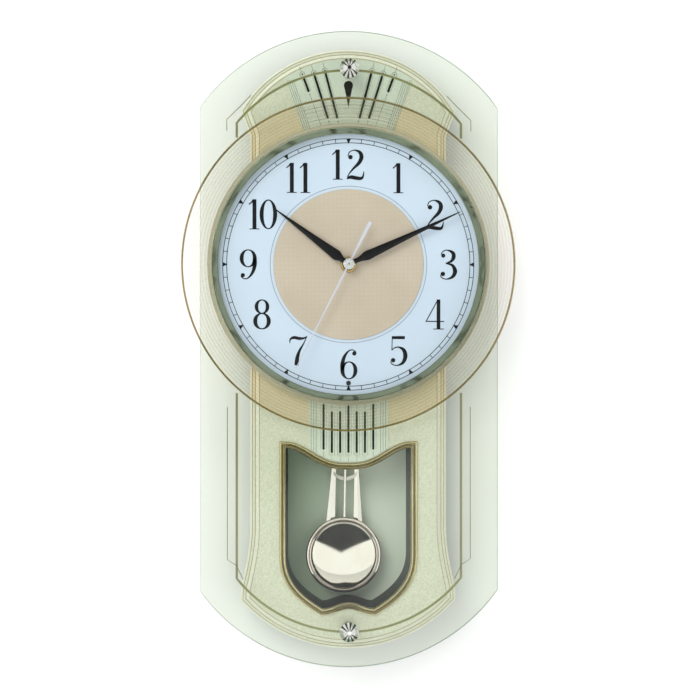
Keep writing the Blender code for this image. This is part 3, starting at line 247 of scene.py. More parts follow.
def coated(name, look):
    made, tree, shader, where = newMaterial(name)
    stretched = addNode(tree, "ShaderNodeMapping", {"Scale": look.get("stretch", (1, 1, 1))}, {"Vector": where})
    broad = addNode(tree, "ShaderNodeTexNoise", {"Scale": 1000 / look["patch"], "Detail": 4.0}, {"Vector": where})
    fine = addNode(tree, "ShaderNodeTexNoise", {"Scale": 1000 / look["grain"], "Detail": 3.0},
                   {"Vector": stretched.outputs["Vector"]})
    share = addNode(tree, "ShaderNodeMapRange", {"From Min": 0.3, "From Max": 0.7}, {"Value": broad.outputs["Fac"]})
    mixing = share.outputs["Result"]
    # painted light and shade: the tone runs from the dark colour at the first x to the light colour at the second
    if "paintedShadeSweep" in look:  # lit from one side: the tone runs across the panel
        across = addNode(tree, "ShaderNodeSeparateXYZ", links={0: where}).outputs["X"]
        mixing = addNode(tree, "ShaderNodeMapRange", {"From Min": look["paintedShadeSweep"][1], "From Max": look["paintedShadeSweep"][0]},
                         {"Value": across}, interpolation_type="SMOOTHSTEP").outputs["Result"]
    tone = addNode(tree, "ShaderNodeMix", {6: hexColour(look["light"]), 7: hexColour(look["dark"])}, {0: mixing},
                   data_type="RGBA").outputs[2]
    if "zone" in look:  # a second lacquer inside a circle round the dial
        tinted = addNode(tree, "ShaderNodeMix", {6: hexColour(look["zoneTint"])},
                         {0: beyond(tree, where, look["zone"]), 7: tone}, data_type="RGBA")
        blended = addNode(tree, "ShaderNodeMix", {0: 0.12}, {6: tinted.outputs[2], 7: tone}, data_type="RGBA")
        tone = blended.outputs[2]
    height = fine.outputs["Fac"]
    if "weave" in look:
        bands = [
            addNode(tree, "ShaderNodeTexWave", {"Scale": 314 / look["weave"], "Distortion": 0.6, "Detail": 1.0},
                    {"Vector": where}, bands_direction=axis).outputs["Fac"]
            for axis in ("X", "Z")
        ]
        cloth = addNode(tree, "ShaderNodeMath", links={0: bands[0], 1: bands[1]}, operation="MULTIPLY").outputs[0]
        tone = addNode(tree, "ShaderNodeMix", {7: hexColour(look["gaps"])}, {0: cloth, 6: tone},
                       data_type="RGBA").outputs[2]
        height = cloth
    rough = addNode(tree, "ShaderNodeMapRange", {
        "From Min": 0.3, "From Max": 0.7, "To Min": look["rough"][0], "To Max": look["rough"][1],
    }, {"Value": fine.outputs["Fac"]}).outputs["Result"]
    relief = addNode(tree, "ShaderNodeBump", {
        "Strength": look.get("relief", 0.15), "Distance": look.get("depth", 0.02) / 1000,
    }, {"Height": height}).outputs["Normal"]
    tree.links.new(tone, shader.inputs["Base Color"])
    tree.links.new(rough, shader.inputs["Roughness"])
    tree.links.new(relief, shader.inputs["Normal"])
    shader.inputs["Metallic"].default_value = look.get("metallic", 0.0)
    shader.inputs["Specular IOR Level"].default_value = look.get("specular", 0.5)
    shader.inputs["Coat Weight"].default_value = look.get("coat", 0.0)
    shader.inputs["Coat Roughness"].default_value = 0.08
    return made


glassClear = 117.0
ringZone = 141.5
looks = {
    # sprayed metallic lacquer over moulding: a warm champagne sheen with a fine flake
    "champagne_lacquer": dict(light="f9f6ea", dark="d8d6c6", patch=0.9, grain=0.6, rough=(0.24, 0.42), metallic=0.12,
                              coat=0.3, relief=0.3, depth=0.04, zone=ringZone, zoneTint="f0dec0"),
    # satin silver-green lacquer on the slotted strips: cooler and greener than the case
    "silver_lacquer": dict(light="eef2ec", dark="e4eae2", patch=1.5, grain=0.4, rough=(0.24, 0.36), metallic=0.15),
    # vacuum-plated pale gold on plastic: bright edges over warm shadow
    "gold_plate": dict(light="e2d4ae", dark="d0c096", patch=30, grain=0.8, rough=(0.16, 0.28), metallic=1.0),
    # mirror-polished darker plating on the bezel's cone
    "bezel_plate": dict(light="999c7e", dark="8c9072", patch=40, grain=1.2, rough=(0.13, 0.2), metallic=1.0),
    # diamond-cut chromed caps with hard wedges of light
    "chrome_plate": dict(light="d8d8d2", dark="c8c8c0", patch=12, grain=0.6, rough=(0.05, 0.1), metallic=1.0),
    # machined brass with fine turning marks
    "brass": dict(light="d8b878", dark="c6a25e", patch=14, grain=0.5, rough=(0.18, 0.32), metallic=1.0,
                  stretch=(1, 6, 1)),
    # plain zinc-plated steel
    "steel": dict(light="b4b6b4", dark="9ea09e", patch=18, grain=0.6, rough=(0.25, 0.42), metallic=1.0,
                  stretch=(5, 1, 1)),
    # enamelled winding wire lying in tight rows
    "enamelled_copper": dict(light="b46a3a", dark="8c4a24", patch=6, grain=0.35, rough=(0.25, 0.4), metallic=0.8,
                             stretch=(8, 1, 8), relief=0.6, depth=0.08),
    # screen-printed dial with the faint cool tooth of coated card
    "dial_card": dict(light="c5d2de", dark="bfccd8", patch=70, grain=0.35, rough=(0.42, 0.55)),
    # beige disc with a fine woven texture
    "dial_mesh": dict(light="c9bba7", dark="bdaf9a", patch=50, grain=0.5, rough=(0.5, 0.65), weave=1.1,
                      gaps="a69780", relief=0.5, depth=0.08),
    # satin black lacquered hands
    "black_aluminium": dict(light="101010", dark="0b0b0b", patch=20, grain=0.5, rough=(0.3, 0.42), specular=0.3),
    # white lacquered second hand
    "white_aluminium": dict(light="c6c6ce", dark="b9b9c2", patch=20, grain=0.5, rough=(0.25, 0.35), coat=0.3),
    # spark-eroded black moulding with a fine dull grain
    "black_plastic": dict(light="26272a", dark="1e1f22", patch=50, grain=0.7, rough=(0.45, 0.62), relief=0.3,
                          depth=0.05),
    # glossy ivory moulding
    "ivory_plastic": dict(light="dcd6c4", dark="d2cbb6", patch=40, grain=0.9, rough=(0.35, 0.48)),
    # nylon gears: waxy and slightly mottled
    "white_nylon": dict(light="e6e4d8", dark="dad7c8", patch=8, grain=0.6, rough=(0.4, 0.55)),
    # grey-green satin panel behind the pendulum, with painted shade darkening its left side and painted light
    # brightening its right
    "grey_card": dict(light="f2f7f1", dark="b0bfae", patch=60, grain=0.6, rough=(0.25, 0.4), paintedShadeSweep=(-0.04, 0.035)),
    # woven loudspeaker cloth
    "black_cloth": dict(light="1c1c1b", dark="141413", patch=20, grain=0.6, rough=(0.8, 0.95), weave=0.9,
                        gaps="3a3a37", relief=0.7, depth=0.12),
    # solder mask with the faint relief of the tracks under it
    "circuit_board": dict(light="2c5a34", dark="234a2b", patch=5, grain=0.8, rough=(0.3, 0.45), weave=2.2,
                          gaps="3f7a48", relief=0.4, depth=0.06),
    # printed sleeve on a cell
    "cell_wrap": dict(light="2f4a86", dark="28407a", patch=16, grain=0.7, rough=(0.25, 0.35), coat=0.5),
}
materials = {slot: coated(slot, look) for slot, look in looks.items()}
# black screen ink: dense and slightly glossy against the dial
ink = coated("screen_ink", dict(
    light="0e0f12", dark="090a0c", patch=30, grain=0.4, rough=(0.34, 0.46), specular=0.3,
))
# grey screen ink for the thin circle
greyInk = coated("grey_ink", dict(light="6c7174", dark="5f6467", patch=30, grain=0.4, rough=(0.35, 0.45)))
# olive-gold ceramic ink fired on the glass
oliveInk = coated("fired_olive_ink", dict(
    light="a39f72", dark="96926a", patch=30, grain=0.5, rough=(0.3, 0.42), metallic=0.3,
))
# painted shade: dark olive lines in the trim's groove, the strips' engraved lines and the bob's groove, and along
# the pendulum blades' edges
grooveShade = coated("olive_painted_groove_shade", dict(light="6f6748", dark="625a3e", patch=20, grain=0.4, rough=(0.25, 0.4)))
# warm tan lines along the bottoms of the two grooves in the case's stepped edge and where the edge meets the flat
# face, darker than the case
tanGrooveLines = coated("tan_groove_line_colour", dict(
    light="b09a70", dark="a08a60", patch=40, grain=0.6, rough=(0.3, 0.42),
))
# gloss-black lined well around the pendulum: dark, but it catches the light along its edge
wellGloss = coated("glossy_well_moulding", dict(
    light="0c0e11", dark="08090b", patch=30, grain=0.8, rough=(0.3, 0.4), specular=0.2,
))


def glint(tree, least, most):  # share of light reflected, the same from both sides of a clear sheet
    facing = addNode(tree, "ShaderNodeLayerWeight", {"Blend": 0.5}).outputs["Facing"]
    edge = addNode(tree, "ShaderNodeMath", {1: 5.0}, {0: facing}, operation="POWER").outputs[0]
    return addNode(tree, "ShaderNodeMapRange", {"To Min": least, "To Max": most}, {"Value": edge}).outputs["Result"]


def clearGlass(name):  # polished float glass: pale mint printed behind it, left clear over the dial
    made, tree, shader, where = newMaterial(name)
    tree.nodes.remove(shader)
    outside = beyond(tree, where, glassClear)
    cloud = addNode(tree, "ShaderNodeTexNoise", {"Scale": 1000 / 90}, {"Vector": where}).outputs["Fac"]
    mint = addNode(tree, "ShaderNodeMix", {6: hexColour("f2f4ef"), 7: hexColour("f2f5f0")}, {0: cloud},
                   data_type="RGBA")
    field = addNode(tree, "ShaderNodeMix", {6: hexColour("fdfefe")}, {0: outside, 7: mint.outputs[2]},
                    data_type="RGBA")
    facing = addNode(tree, "ShaderNodeNewGeometry").outputs["Normal"]
    depth = addNode(tree, "ShaderNodeSeparateXYZ", links={0: facing}).outputs["Y"]
    flatness = addNode(tree, "ShaderNodeMath", links={0: depth}, operation="ABSOLUTE").outputs[0]
    edge = addNode(tree, "ShaderNodeMapRange", {"From Min": 0.9, "From Max": 0.4},
                   {"Value": flatness}).outputs["Result"]
    tint = addNode(tree, "ShaderNodeMix", {7: hexColour("adbcaa")}, {0: edge, 6: field.outputs[2]},
                   data_type="RGBA")
    through = addNode(tree, "ShaderNodeBsdfTransparent", links={"Color": tint.outputs[2]})
    sheen = addNode(tree, "ShaderNodeBsdfGlossy", {"Roughness": 0.02})
    mixed = addNode(tree, "ShaderNodeMixShader", links={
        0: glint(tree, 0.02, 0.5), 1: through.outputs[0], 2: sheen.outputs[0],
    })
    tree.links.new(mixed.outputs[0], tree.nodes["Material Output"].inputs["Surface"])
    return made


def amberAcrylic(name):  # clear moulded acrylic, warmer where its ribs turn away
    made, tree, shader, where = newMaterial(name)
    tree.nodes.remove(shader)
    facing = addNode(tree, "ShaderNodeNewGeometry").outputs["Normal"]
    split = addNode(tree, "ShaderNodeSeparateXYZ", links={0: facing}).outputs["Y"]
    flatness = addNode(tree, "ShaderNodeMath", links={0: split}, operation="ABSOLUTE").outputs[0]
    steep = addNode(tree, "ShaderNodeMapRange", {"From Min": 1.0, "From Max": 0.6},
                    {"Value": flatness}).outputs["Result"]
    tint = addNode(tree, "ShaderNodeMix", {6: hexColour("fffefe"), 7: hexColour("fdfcf8")}, {0: steep},
                   data_type="RGBA")
    grain = addNode(tree, "ShaderNodeTexNoise", {"Scale": 1000 / 12}, {"Vector": where}).outputs["Fac"]
    rough = addNode(tree, "ShaderNodeMapRange", {"To Min": 0.08, "To Max": 0.16},
                    {"Value": grain}).outputs["Result"]
    through = addNode(tree, "ShaderNodeBsdfTransparent", links={"Color": tint.outputs[2]})
    body = addNode(tree, "ShaderNodeBsdfDiffuse", {"Color": hexColour("f2e8c8")})
    sheen = addNode(tree, "ShaderNodeBsdfGlossy", links={"Roughness": rough})
    haze = addNode(tree, "ShaderNodeMapRange", {"To Min": 0.005, "To Max": 0.08},
                   {"Value": steep}).outputs["Result"]
    hazy = addNode(tree, "ShaderNodeMixShader", links={0: haze, 1: through.outputs[0], 2: body.outputs[0]})
    mixed = addNode(tree, "ShaderNodeMixShader", links={
        0: glint(tree, 0.025, 0.6), 1: hazy.outputs[0], 2: sheen.outputs[0],
    })
    tree.links.new(mixed.outputs[0], tree.nodes["Material Output"].inputs["Surface"])
    return made


# painted reflection: dark olive on alternate facets of the caps, in place of the dark wedges the chrome reflects
paintedFacetReflection = coated("painted_dark_facet_reflection", dict(
    light="4c4f42", dark="3a3d32", patch=8, grain=0.4, rough=(0.15, 0.25), metallic=0.6,
))
# warm dark amber along the ring's rim
rimLacquer = coated("amber_rim_line", dict(
    light="9a8650", dark="877440", patch=40, grain=0.5, rough=(0.2, 0.3), metallic=0.3, coat=0.5,
))
# rose-champagne plating, brighter and rosier than the trim
bobPlate = coated("champagne_plate", dict(
    light="fdf3f4", dark="f8eaea", patch=30, grain=0.9, rough=(0.04, 0.07), metallic=1.0,
))
materials["toughened_glass"] = clearGlass("toughened_glass")
materials["amber_acrylic"] = amberAcrylic("amber_acrylic")
for piece in record["subparts"]:
    data = frame["nodes"][piece["node"]].data
    data.materials.clear()
    data.materials.append(materials[piece["material_slot"]])
print("materials made")


# Glass, its printed lines and the cap nuts

glass = span("glass_panel")
axisUp = (span("ribbed_ring")["down"] + span("ribbed_ring")["up"]) / 2
centreX = (glass["left"] + glass["right"]) / 2
pane = {"arcRadius": 154.1, "bevel": 5.5, "bevelDepth": 1.4, "hole": 3.2}
pane["half"] = (glass["right"] - glass["left"]) / 2


def paneOutline(half):
    centre = glass["up"] - pane["arcRadius"]
    end = acos(half / pane["arcRadius"])
    low = arc((0, -centre), pane["arcRadius"], end - pi, -end, 60)
    return low + [(-x, -y) for x, y in low]


sheet = bmesh.new()
skin(sheet, [
    [(x, y, out) for x, y in paneOutline(pane["half"] - inset)]
    for inset, out in (
        (0.3, glass["back"]), (0, glass["back"] + 0.3), (0, glass["front"] - pane["bevelDepth"]),
        (pane["bevel"], glass["front"]),
    )
])
studs = [(span(node)["down"] + span(node)["up"]) / 2 for node in ("top_cap_nut", "bottom_cap_nut")]
holes = bmesh.new()
for up in studs:
    around = [(x, y + up) for x, y in arc((0, 0), pane["hole"], 0, tau * 35 / 36, 35)]
    prism(holes, around, glass["back"] - 1, glass["front"] + 1)
finishPiece(sheet, "bevelled_glass", "case", "toughened_glass", ["glass_panel"], 20, [holes])

lines = {
    "thick": 1.0, "thin": 0.35, "side": 94.6, "lowStart": -37.0, "lowArc": (-117.4, 121.2), "highStart": 178.0,
    "highArc": (113.0, 122.2),
}
printed = bmesh.new()
back = glass["back"] - 0.02
for sign, start, (arcUp, radius) in (
    (-1, lines["lowStart"], lines["lowArc"]), (1, lines["highStart"], lines["highArc"]),
):
    end = acos(lines["side"] / radius)
    rounded = arc((0, arcUp), radius, sign * end, sign * (pi - end), 60)
    path = [(lines["side"], start)] + rounded + [(-lines["side"], start)]
    ribbon(printed, [(x, y, lines["thick"]) for x, y in path], back - 0.05, back)
for side in (-1, 1):
    for path in (
        [(102.5, -48.7), (102.5, -177.2), (94.8, -182.3), (89.3, -194.0)],
        [(103.0, 184.0), (103.0, 193.2), (92.7, 203.3), (82.6, 213.8)],
    ):
        ribbon(printed, [(side * x, y, lines["thin"]) for x, y in path], back - 0.05, back)
finishPiece(printed, "printed_glass_lines", "case", "gold_plate", finish=oliveInk)


def enamelCuts(piece, wedges, x, up):  # painted reflection: dark olive on every other outward facet, above and below the centre only
    piece.data.materials.append(paintedFacetReflection)
    for face in piece.data.polygons:
        outwards = -face.normal.y
        angle = atan2(face.center.z * 1000 - up, face.center.x * 1000 - x)
        far = hypot(face.center.z * 1000 - up, face.center.x * 1000 - x) > 2.5
        if far and outwards > 0.2 and abs(cos(angle)) < 0.8 and int(angle % tau / (pi / wedges)) % 2:
            face.material_index = 1


def fanCut(work, rings, wedges, at):  # rings of (radius, out, wave): the wave tips neighbouring wedges apart
    skin(work, [
        [(r * cos(pi * i / wedges), r * sin(pi * i / wedges), out + wave * (1 if i % 2 else -1))
         for i in range(2 * wedges)]
        for r, out, wave in rings
    ], at)


for node in ("top_cap_nut", "bottom_cap_nut"):
    box = span(node)
    radius, under, crown = (box["right"] - box["left"]) / 2, glass["front"] + 0.3, box["front"]
    cap = bmesh.new()
    fanCut(cap, [
        (2.0, box["back"], 0), (2.0, under, 0), (radius - 0.4, under, 0), (radius, under + 0.4, 0),
        (radius, under + 1.7, 0.3), (radius * 0.62, crown - 1.6, 0.45), (radius * 0.2, crown - 0.15, 0.12),
    ], 12, placed(centreX, (box["down"] + box["up"]) / 2))
    made = finishPiece(cap, node.replace("_nut", "_faceted"), "case", "chrome_plate", [node], 3)
    enamelCuts(made, 12, centreX, (box["down"] + box["up"]) / 2)

cap = bmesh.new()
box = span("second_hand_cap")
radius = (box["right"] - box["left"]) / 2
fanCut(cap, [
    (radius - 0.2, box["back"], 0), (radius, box["back"] + 0.3, 0), (radius, box["back"] + 0.9, 0.12),
    (radius * 0.6, box["front"] - 0.5, 0.2), (radius * 0.15, box["front"] - 0.06, 0.05),
], 10, placed(centreX, axisUp))
finishPiece(cap, "second_hand_cap_faceted", "second_arbor", "chrome_plate", ["second_hand_cap"], 3)
print("glass made")


# Ribbed ring and bezel

ring = span("ribbed_ring")
ringOuter = (ring["right"] - ring["left"]) / 2
bezel = span("dial_bezel")
bezelOuter = (bezel["right"] - bezel["left"]) / 2
ribs = {"inner": bezelOuter + 0.3, "count": 9, "rim": 1.7, "rise": 3.6}
low, crown = ring["back"], ring["front"]
profile = [(ribs["inner"], low), (ringOuter - 0.4, low), (ringOuter, low + 0.4), (ringOuter, low + 3.2),
           (ringOuter - 0.5, low + 3.7), (ringOuter - ribs["rim"], low + 3.4)]
rim = ringOuter - ribs["rim"]
pitch = (rim - ribs["inner"]) / ribs["count"]
for i in range(ribs["count"]):
    edge = rim - pitch * i
    base = low + 3.0 + (crown - low - 3.0) * (i + 0.5) / ribs["count"]
    for t in (0.04, 0.16, 0.34, 0.5, 0.66, 0.84, 0.96):
        profile.append((edge - pitch * t, min(base + 1.2 * sin(pi * t) - 0.6, crown)))
profile.append((ribs["inner"], crown - 0.2))
band = bmesh.new()
turned(band, profile, placed(centreX, axisUp), 216)
finishPiece(band, "ribbed_acrylic_ring", "case", "amber_acrylic", ["ribbed_ring"], 40)

rimLine = bmesh.new()
turned(rimLine, [(ringOuter - 1.7, low + 0.2), (ringOuter - 0.15, low + 0.2), (ringOuter - 0.15, low + 0.35),
                 (ringOuter - 1.7, low + 0.35)], placed(centreX, axisUp), 216)
finishPiece(rimLine, "ring_rim_line", "case", "gold_plate", finish=rimLacquer)

cone = {"inner": bezelOuter - 5.2, "skirt": 113.4, "crest": 0.9}
front = bezel["front"]
profile = [
    (cone["inner"] + 0.1, bezel["back"]), (cone["skirt"], bezel["back"]), (cone["skirt"], ring["back"]),
    (bezelOuter, ring["back"]), (bezelOuter, front - 0.9), (bezelOuter - 0.25, front - 0.3),
    (bezelOuter - 0.7, front), (bezelOuter - 1.1, front - 0.05), (bezelOuter - 1.3, front - 0.4),
    (cone["inner"] + 0.6, front - 5.7), (cone["inner"] + 0.35, front - 6.1), (cone["inner"], front - 6.4),
]
band = bmesh.new()
turned(band, profile, placed(centreX, axisUp), 216)
finishPiece(band, "polished_bezel", "case", "bezel_plate", ["dial_bezel"], 25)
print("ring made")


# Dial: track, circle, numerals and centre disc

dial = span("dial_plate")
mesh = span("dial_centre_disc")
nut = span("movement_nut")
printLow, printHigh = dial["front"] + 0.01, dial["front"] + 0.06
onDial = placed(centreX, axisUp)
track = {
    "outer": 107.0, "inner": 103.6, "line": 0.3, "circle": 66.7, "numerals": 85.0, "height": 25.6, "widen": 1.36,
}

disc = bmesh.new()
outer, bore = (mesh["right"] - mesh["left"]) / 2, (nut["right"] - nut["left"]) / 2
turned(disc, [(bore + 0.3, mesh["back"]), (outer, mesh["back"]), (outer, mesh["front"] - 0.1),
              (outer - 0.15, mesh["front"]), (bore + 0.3, mesh["front"])], onDial)
finishPiece(disc, "woven_centre_disc", "case", "dial_mesh", ["dial_centre_disc"])

collar = bmesh.new()
deep = nut["front"]
turned(collar, [(bore - 1.9, nut["back"]), (bore, nut["back"]), (bore, deep - 0.9), (bore - 0.3, deep - 0.4),
                (bore - 0.8, deep - 0.1), (bore - 1.2, deep), (bore - 1.9, deep - 0.1)], onDial, 96)
finishPiece(collar, "turned_movement_nut", "case", "brass", ["movement_nut"], 40)

black = bmesh.new()
for radius in (track["outer"], track["inner"]):
    turned(black, [(radius - track["line"], printLow), (radius + track["line"], printLow),
                   (radius + track["line"], printHigh), (radius - track["line"], printHigh)], onDial)
for i in range(60):
    at = placed(centreX, axisUp, 6 * i)
    if i % 5:
        ribbon(black, [(0, track["inner"], 0.28), (0, track["outer"], 0.28)], printLow, printHigh, at)
    else:
        wedge = [(-2.0, track["outer"]), (0, track["inner"] - 0.8), (2.0, track["outer"])]
        prism(black, wedge, printLow, printHigh, at)
finishPiece(black, "minute_track", "case", "dial_card", finish=ink)

grey = bmesh.new()
turned(grey, [(track["circle"] - 0.2, printLow), (track["circle"] + 0.2, printLow),
              (track["circle"] + 0.2, printHigh), (track["circle"] - 0.2, printHigh)], onDial)
finishPiece(grey, "grey_circle", "case", "dial_card", finish=greyInk)

glyphs = {  # in thousandths of the height: (x, y, half width) along a stroke, dots, (x, y, a, b, thick, thin) loops
    "0": {"loop": [(240, 500, 165, 475, 68, 20)]},
    "1": {
        "line": [
            [(250, 0, 66), (250, 1000, 66)],
            [(80, 830, 20), (160, 900, 22), (220, 985, 30)],
            [(100, 15, 15), (400, 15, 15)],
        ],
    },
    "2": {
        "dot": [(130, 750, 75)],
        "curve": [
            [(70, 790, 15), (110, 920, 18), (230, 982, 20), (360, 910, 55), (400, 750, 70), (340, 560, 58),
             (210, 380, 36), (100, 200, 20), (60, 90, 20)],
            [(40, 30, 20), (140, 85, 60), (270, 55, 62), (390, 45, 52), (440, 120, 30), (460, 280, 12)],
        ],
    },
    "3": {
        "dot": [(130, 800, 70), (120, 190, 75)],
        "curve": [
            [(75, 840, 15), (130, 945, 18), (230, 982, 20), (360, 900, 55), (385, 760, 68), (330, 620, 45),
             (190, 540, 16)],
            [(190, 540, 16), (350, 480, 45), (420, 280, 72), (360, 100, 52), (220, 18, 20), (100, 60, 18),
             (55, 150, 15)],
        ],
    },
    "4": {
        "line": [
            [(340, 0, 62), (340, 1000, 62)],
            [(320, 980, 16), (40, 280, 16)],
            [(20, 270, 18), (480, 270, 18)],
            [(210, 15, 15), (470, 15, 15)],
        ],
    },
    "5": {
        "dot": [(120, 190, 75)],
        "line": [[(100, 945, 50), (410, 945, 50)], [(100, 990, 14), (90, 520, 14)]],
        "curve": [
            [(90, 520, 14), (150, 600, 18), (260, 625, 26), (380, 530, 60), (420, 320, 72), (360, 110, 50),
             (220, 18, 20), (100, 60, 18), (55, 150, 15)],
        ],
    },
    "6": {
        "loop": [(260, 300, 160, 280, 66, 18)],
        "dot": [(390, 860, 70)],
        "curve": [
            [(100, 300, 66), (100, 520, 66), (150, 760, 50), (250, 940, 24), (350, 980, 18), (440, 900, 15)],
        ],
    },
    "7": {
        "curve": [
            [(35, 760, 12), (50, 890, 30), (140, 945, 52), (270, 915, 50), (380, 925, 32), (455, 985, 14)],
            [(450, 970, 12), (370, 740, 22), (270, 500, 42), (215, 260, 64), (200, 20, 70)],
        ],
    },
    "8": {"loop": [(250, 755, 135, 222, 60, 20), (250, 275, 165, 255, 68, 20)]},
}


def drawGlyph(work, digit, at, size, shift):
    turn = -1 if digit == "9" else 1
    shape = glyphs["6" if digit == "9" else digit]
    widen = 1.08 if digit == "1" else track["widen"]

    def fit(points):
        unit = size / 1000
        return [
            ((250 + turn * (x - 250) * widen) * unit + shift * size, turn * (y - 500) * unit, w * unit)
            for x, y, w in points
        ]

    for path in shape.get("curve", []):
        ribbon(work, fit(curve(path)), printLow, printHigh, at)
    for path in shape.get("line", []):
        ribbon(work, fit(path), printLow, printHigh, at)
    for x, y, r in shape.get("dot", []):
        (cx, cy, radius), = fit([(x, y, r)])
        prism(work, arc((cx, cy), radius, 0, tau * 23 / 24, 23), printLow, printHigh, at)
    for x, y, a, b, thick, thin in shape.get("loop", []):
        loop = [
            (x + a * cos(tau * i / 64), y + b * sin(tau * i / 64), thin + (thick - thin) * cos(tau * i / 64) ** 2)
            for i in range(64)
        ]
        ribbon(work, fit(loop), printLow, printHigh, at, closed=True)


advances = {
    "0": 0.5, "1": 0.45, "2": 0.72, "3": 0.52, "4": 0.54, "5": 0.52, "6": 0.54, "7": 0.52, "8": 0.54, "9": 0.54,
}
numerals = bmesh.new()
for hour in range(1, 13):
    angle = radians(30 * hour)
    at = placed(centreX + track["numerals"] * sin(angle), axisUp + track["numerals"] * cos(angle))
    digits = str(hour)
    pen = -sum(advances[digit] for digit in digits) / 2
    for digit in digits:
        drawGlyph(numerals, digit, at, track["height"], pen + advances[digit] / 2 - 0.25)
        pen += advances[digit]
finishPiece(numerals, "numerals", "case", "dial_card", finish=ink)
print("dial made")


# Hands: ridged spears on turned collars


def handPiece(node, body, slot, stations, hub, clockwise):
    box = span(node)
    at = placed(centreX, axisUp, clockwise)
    work = bmesh.new()
    thick = {"low": box["back"] + 0.35, "high": box["front"] - 0.35}
    path = curve([(y, 0.0, w) for y, w in stations], 5)
    blade(work, [(y, 0, max(w, 0.04)) for y, x, w in path], thick["low"], thick["high"] - 0.3, thick["high"], at)
    turned(work, [(hub["bore"], box["back"]), (hub["outer"] * 0.8, box["back"]), (hub["outer"], thick["low"]),
                  (hub["outer"], thick["high"] - 0.1), (hub["outer"] * 0.8, box["front"] - 0.05),
                  (hub["bore"], box["front"])], at, 60)
    finishPiece(work, node + "_ridged", body, slot, [node], 12)


def spear(length, hub, waist, belly, tail):
    return [
        (tail, 0.3), (tail * 0.4, waist * 0.8), (0, waist), (hub, waist), (length * 0.1, waist * 1.15),
        (length * 0.16, belly), (length * 0.22, belly * 0.94), (length * 0.45, belly * 0.66),
        (length * 0.7, belly * 0.4), (length * 0.84, belly * 0.25), (length * 0.93, 0.66), (length * 0.985, 0.45),
        (length, 0.12),
    ]


needle = [
    (-40, 1.5), (-36, 1.45), (-20, 1.1), (-6, 0.8), (0, 1.6), (6, 0.8), (12, 0.85), (40, 0.7), (75, 0.5),
    (97.5, 0.35),
]
hourSpear, minuteSpear = spear(78.5, 4.2, 2.2, 4.4, -4.4), spear(105.0, 3.6, 2.0, 4.0, -3.8)
handPiece("hour_hand", "hour_pipe", "black_aluminium", hourSpear, {"bore": 3.0, "outer": 4.6}, 306.8)
handPiece("minute_hand", "minute_pipe", "black_aluminium", minuteSpear, {"bore": 2.0, "outer": 4.0}, 64.8)
handPiece("second_hand", "second_arbor", "white_aluminium", needle, {"bore": 0.9, "outer": 2.2}, 206.9)
print("hands made")


# Case front with its stepped edge

case = span("case_front")
window = {
    "half": 53.5, "top": -84.4, "dip": -102.9, "sideEnd": -174.0, "cuspX": 22.0, "cusp": -221.4, "arch": -216.3,
    "lip": 1.7, "bend": 2.6,
}
window["trim"] = span("window_trim")["right"] - window["half"]
body = {"top": 107.0, "bottom": 123.0, "waist": 83.7, "waistTop": 182.0, "waistLow": -150.0, "flareLow": -206.0}
body["shoulder"], body["half"] = case["right"], case["up"]
shaft = 4.8


def caseOutline():
    topEnd, lowEnd = acos(body["shoulder"] / body["top"]), -acos(body["shoulder"] / body["bottom"])
    half = arc((0, body["bottom"] - body["half"]), body["bottom"], -pi / 2, lowEnd, 28)
    half = half[:-3] + half[-1:]  # no short steps beside the corners
    for i in range(1, 17):
        t = i / 16
        half.append((body["shoulder"] - (body["shoulder"] - body["waist"]) * sin(t * pi / 2),
                     body["flareLow"] + (body["waistLow"] - body["flareLow"]) * t))
    half.append((body["waist"], body["waistTop"]))
    crown = arc((0, body["half"] - body["top"]), body["top"], topEnd, pi / 2, 28)
    return mirrored(half + crown[:1] + crown[4:])


def waveHeight(x):
    t = min(abs(x) / window["half"], 1) ** 1.35
    return window["dip"] + (window["top"] - window["dip"]) * (1 - cos(pi * t)) / 2


def aboveTrim(x):
    slope = waveHeight(x + 0.5) - waveHeight(x - 0.5)
    return waveHeight(x) + (window["trim"] + 0.6) * hypot(1, slope) + 0.6


def windowOutline():
    half = []
    for i in range(16):
        x = window["cuspX"] * i / 16
        half.append((x, window["cusp"] + (window["arch"] - window["cusp"]) * (1 + cos(pi * i / 16)) / 2))
    width, height = window["half"] - window["cuspX"], window["sideEnd"] - window["cusp"]
    for i in range(21):
        fall = 1 - i / 20
        half.append((window["half"] - width * fall ** window["bend"], window["sideEnd"] - height * fall))
    for i in range(31):
        x = window["half"] * (1 - i / 30)
        half.append((x, waveHeight(x)))
    return mirrored(half)


fan = {"top": 54.0, "low": 37.7, "lowUp": 184.0, "radius": body["top"] - 9.0}
fanCentre = body["half"] - body["top"]
fanTopUp = fanCentre + sqrt(fan["radius"] ** 2 - fan["top"] ** 2)


def fanHalf(y):
    return fan["low"] + (fan["top"] - fan["low"]) * (y - fan["lowUp"]) / (fanTopUp - fan["lowUp"])


caseEdge, windowEdge = caseOutline(), windowOutline()
face = case["front"]
stepped = [
    (0, case["back"]), (0, face - 4.6), (-0.25, face - 3.9), (-0.8, face - 3.3), (-1.6, face - 3.0),
    (-1.75, face - 3.25), (-2.1, face - 3.25), (-2.25, face - 2.9), (-4.0, face - 2.6), (-4.15, face - 2.85),
    (-4.5, face - 2.85), (-4.7, face - 2.3), (-5.6, face - 1.5), (-6.6, face - 0.5), (-7.3, face - 0.08),
    (-7.9, face),
]
shell = bmesh.new()
skin(shell, [[(x, y, out) for x, y in offset(caseEdge, d)] for d, out in stepped])
hollow, cutters = bmesh.new(), bmesh.new()
prism(hollow, offset(caseEdge, -8.5), case["back"] - 1, face - 2.5)
prism(cutters, offset(windowEdge, window["lip"] + 0.3), face - 4, face + 1)
shaftHole = [(x, y + axisUp) for x, y in arc((0, 0), shaft, 0, tau * 47 / 48, 47)]
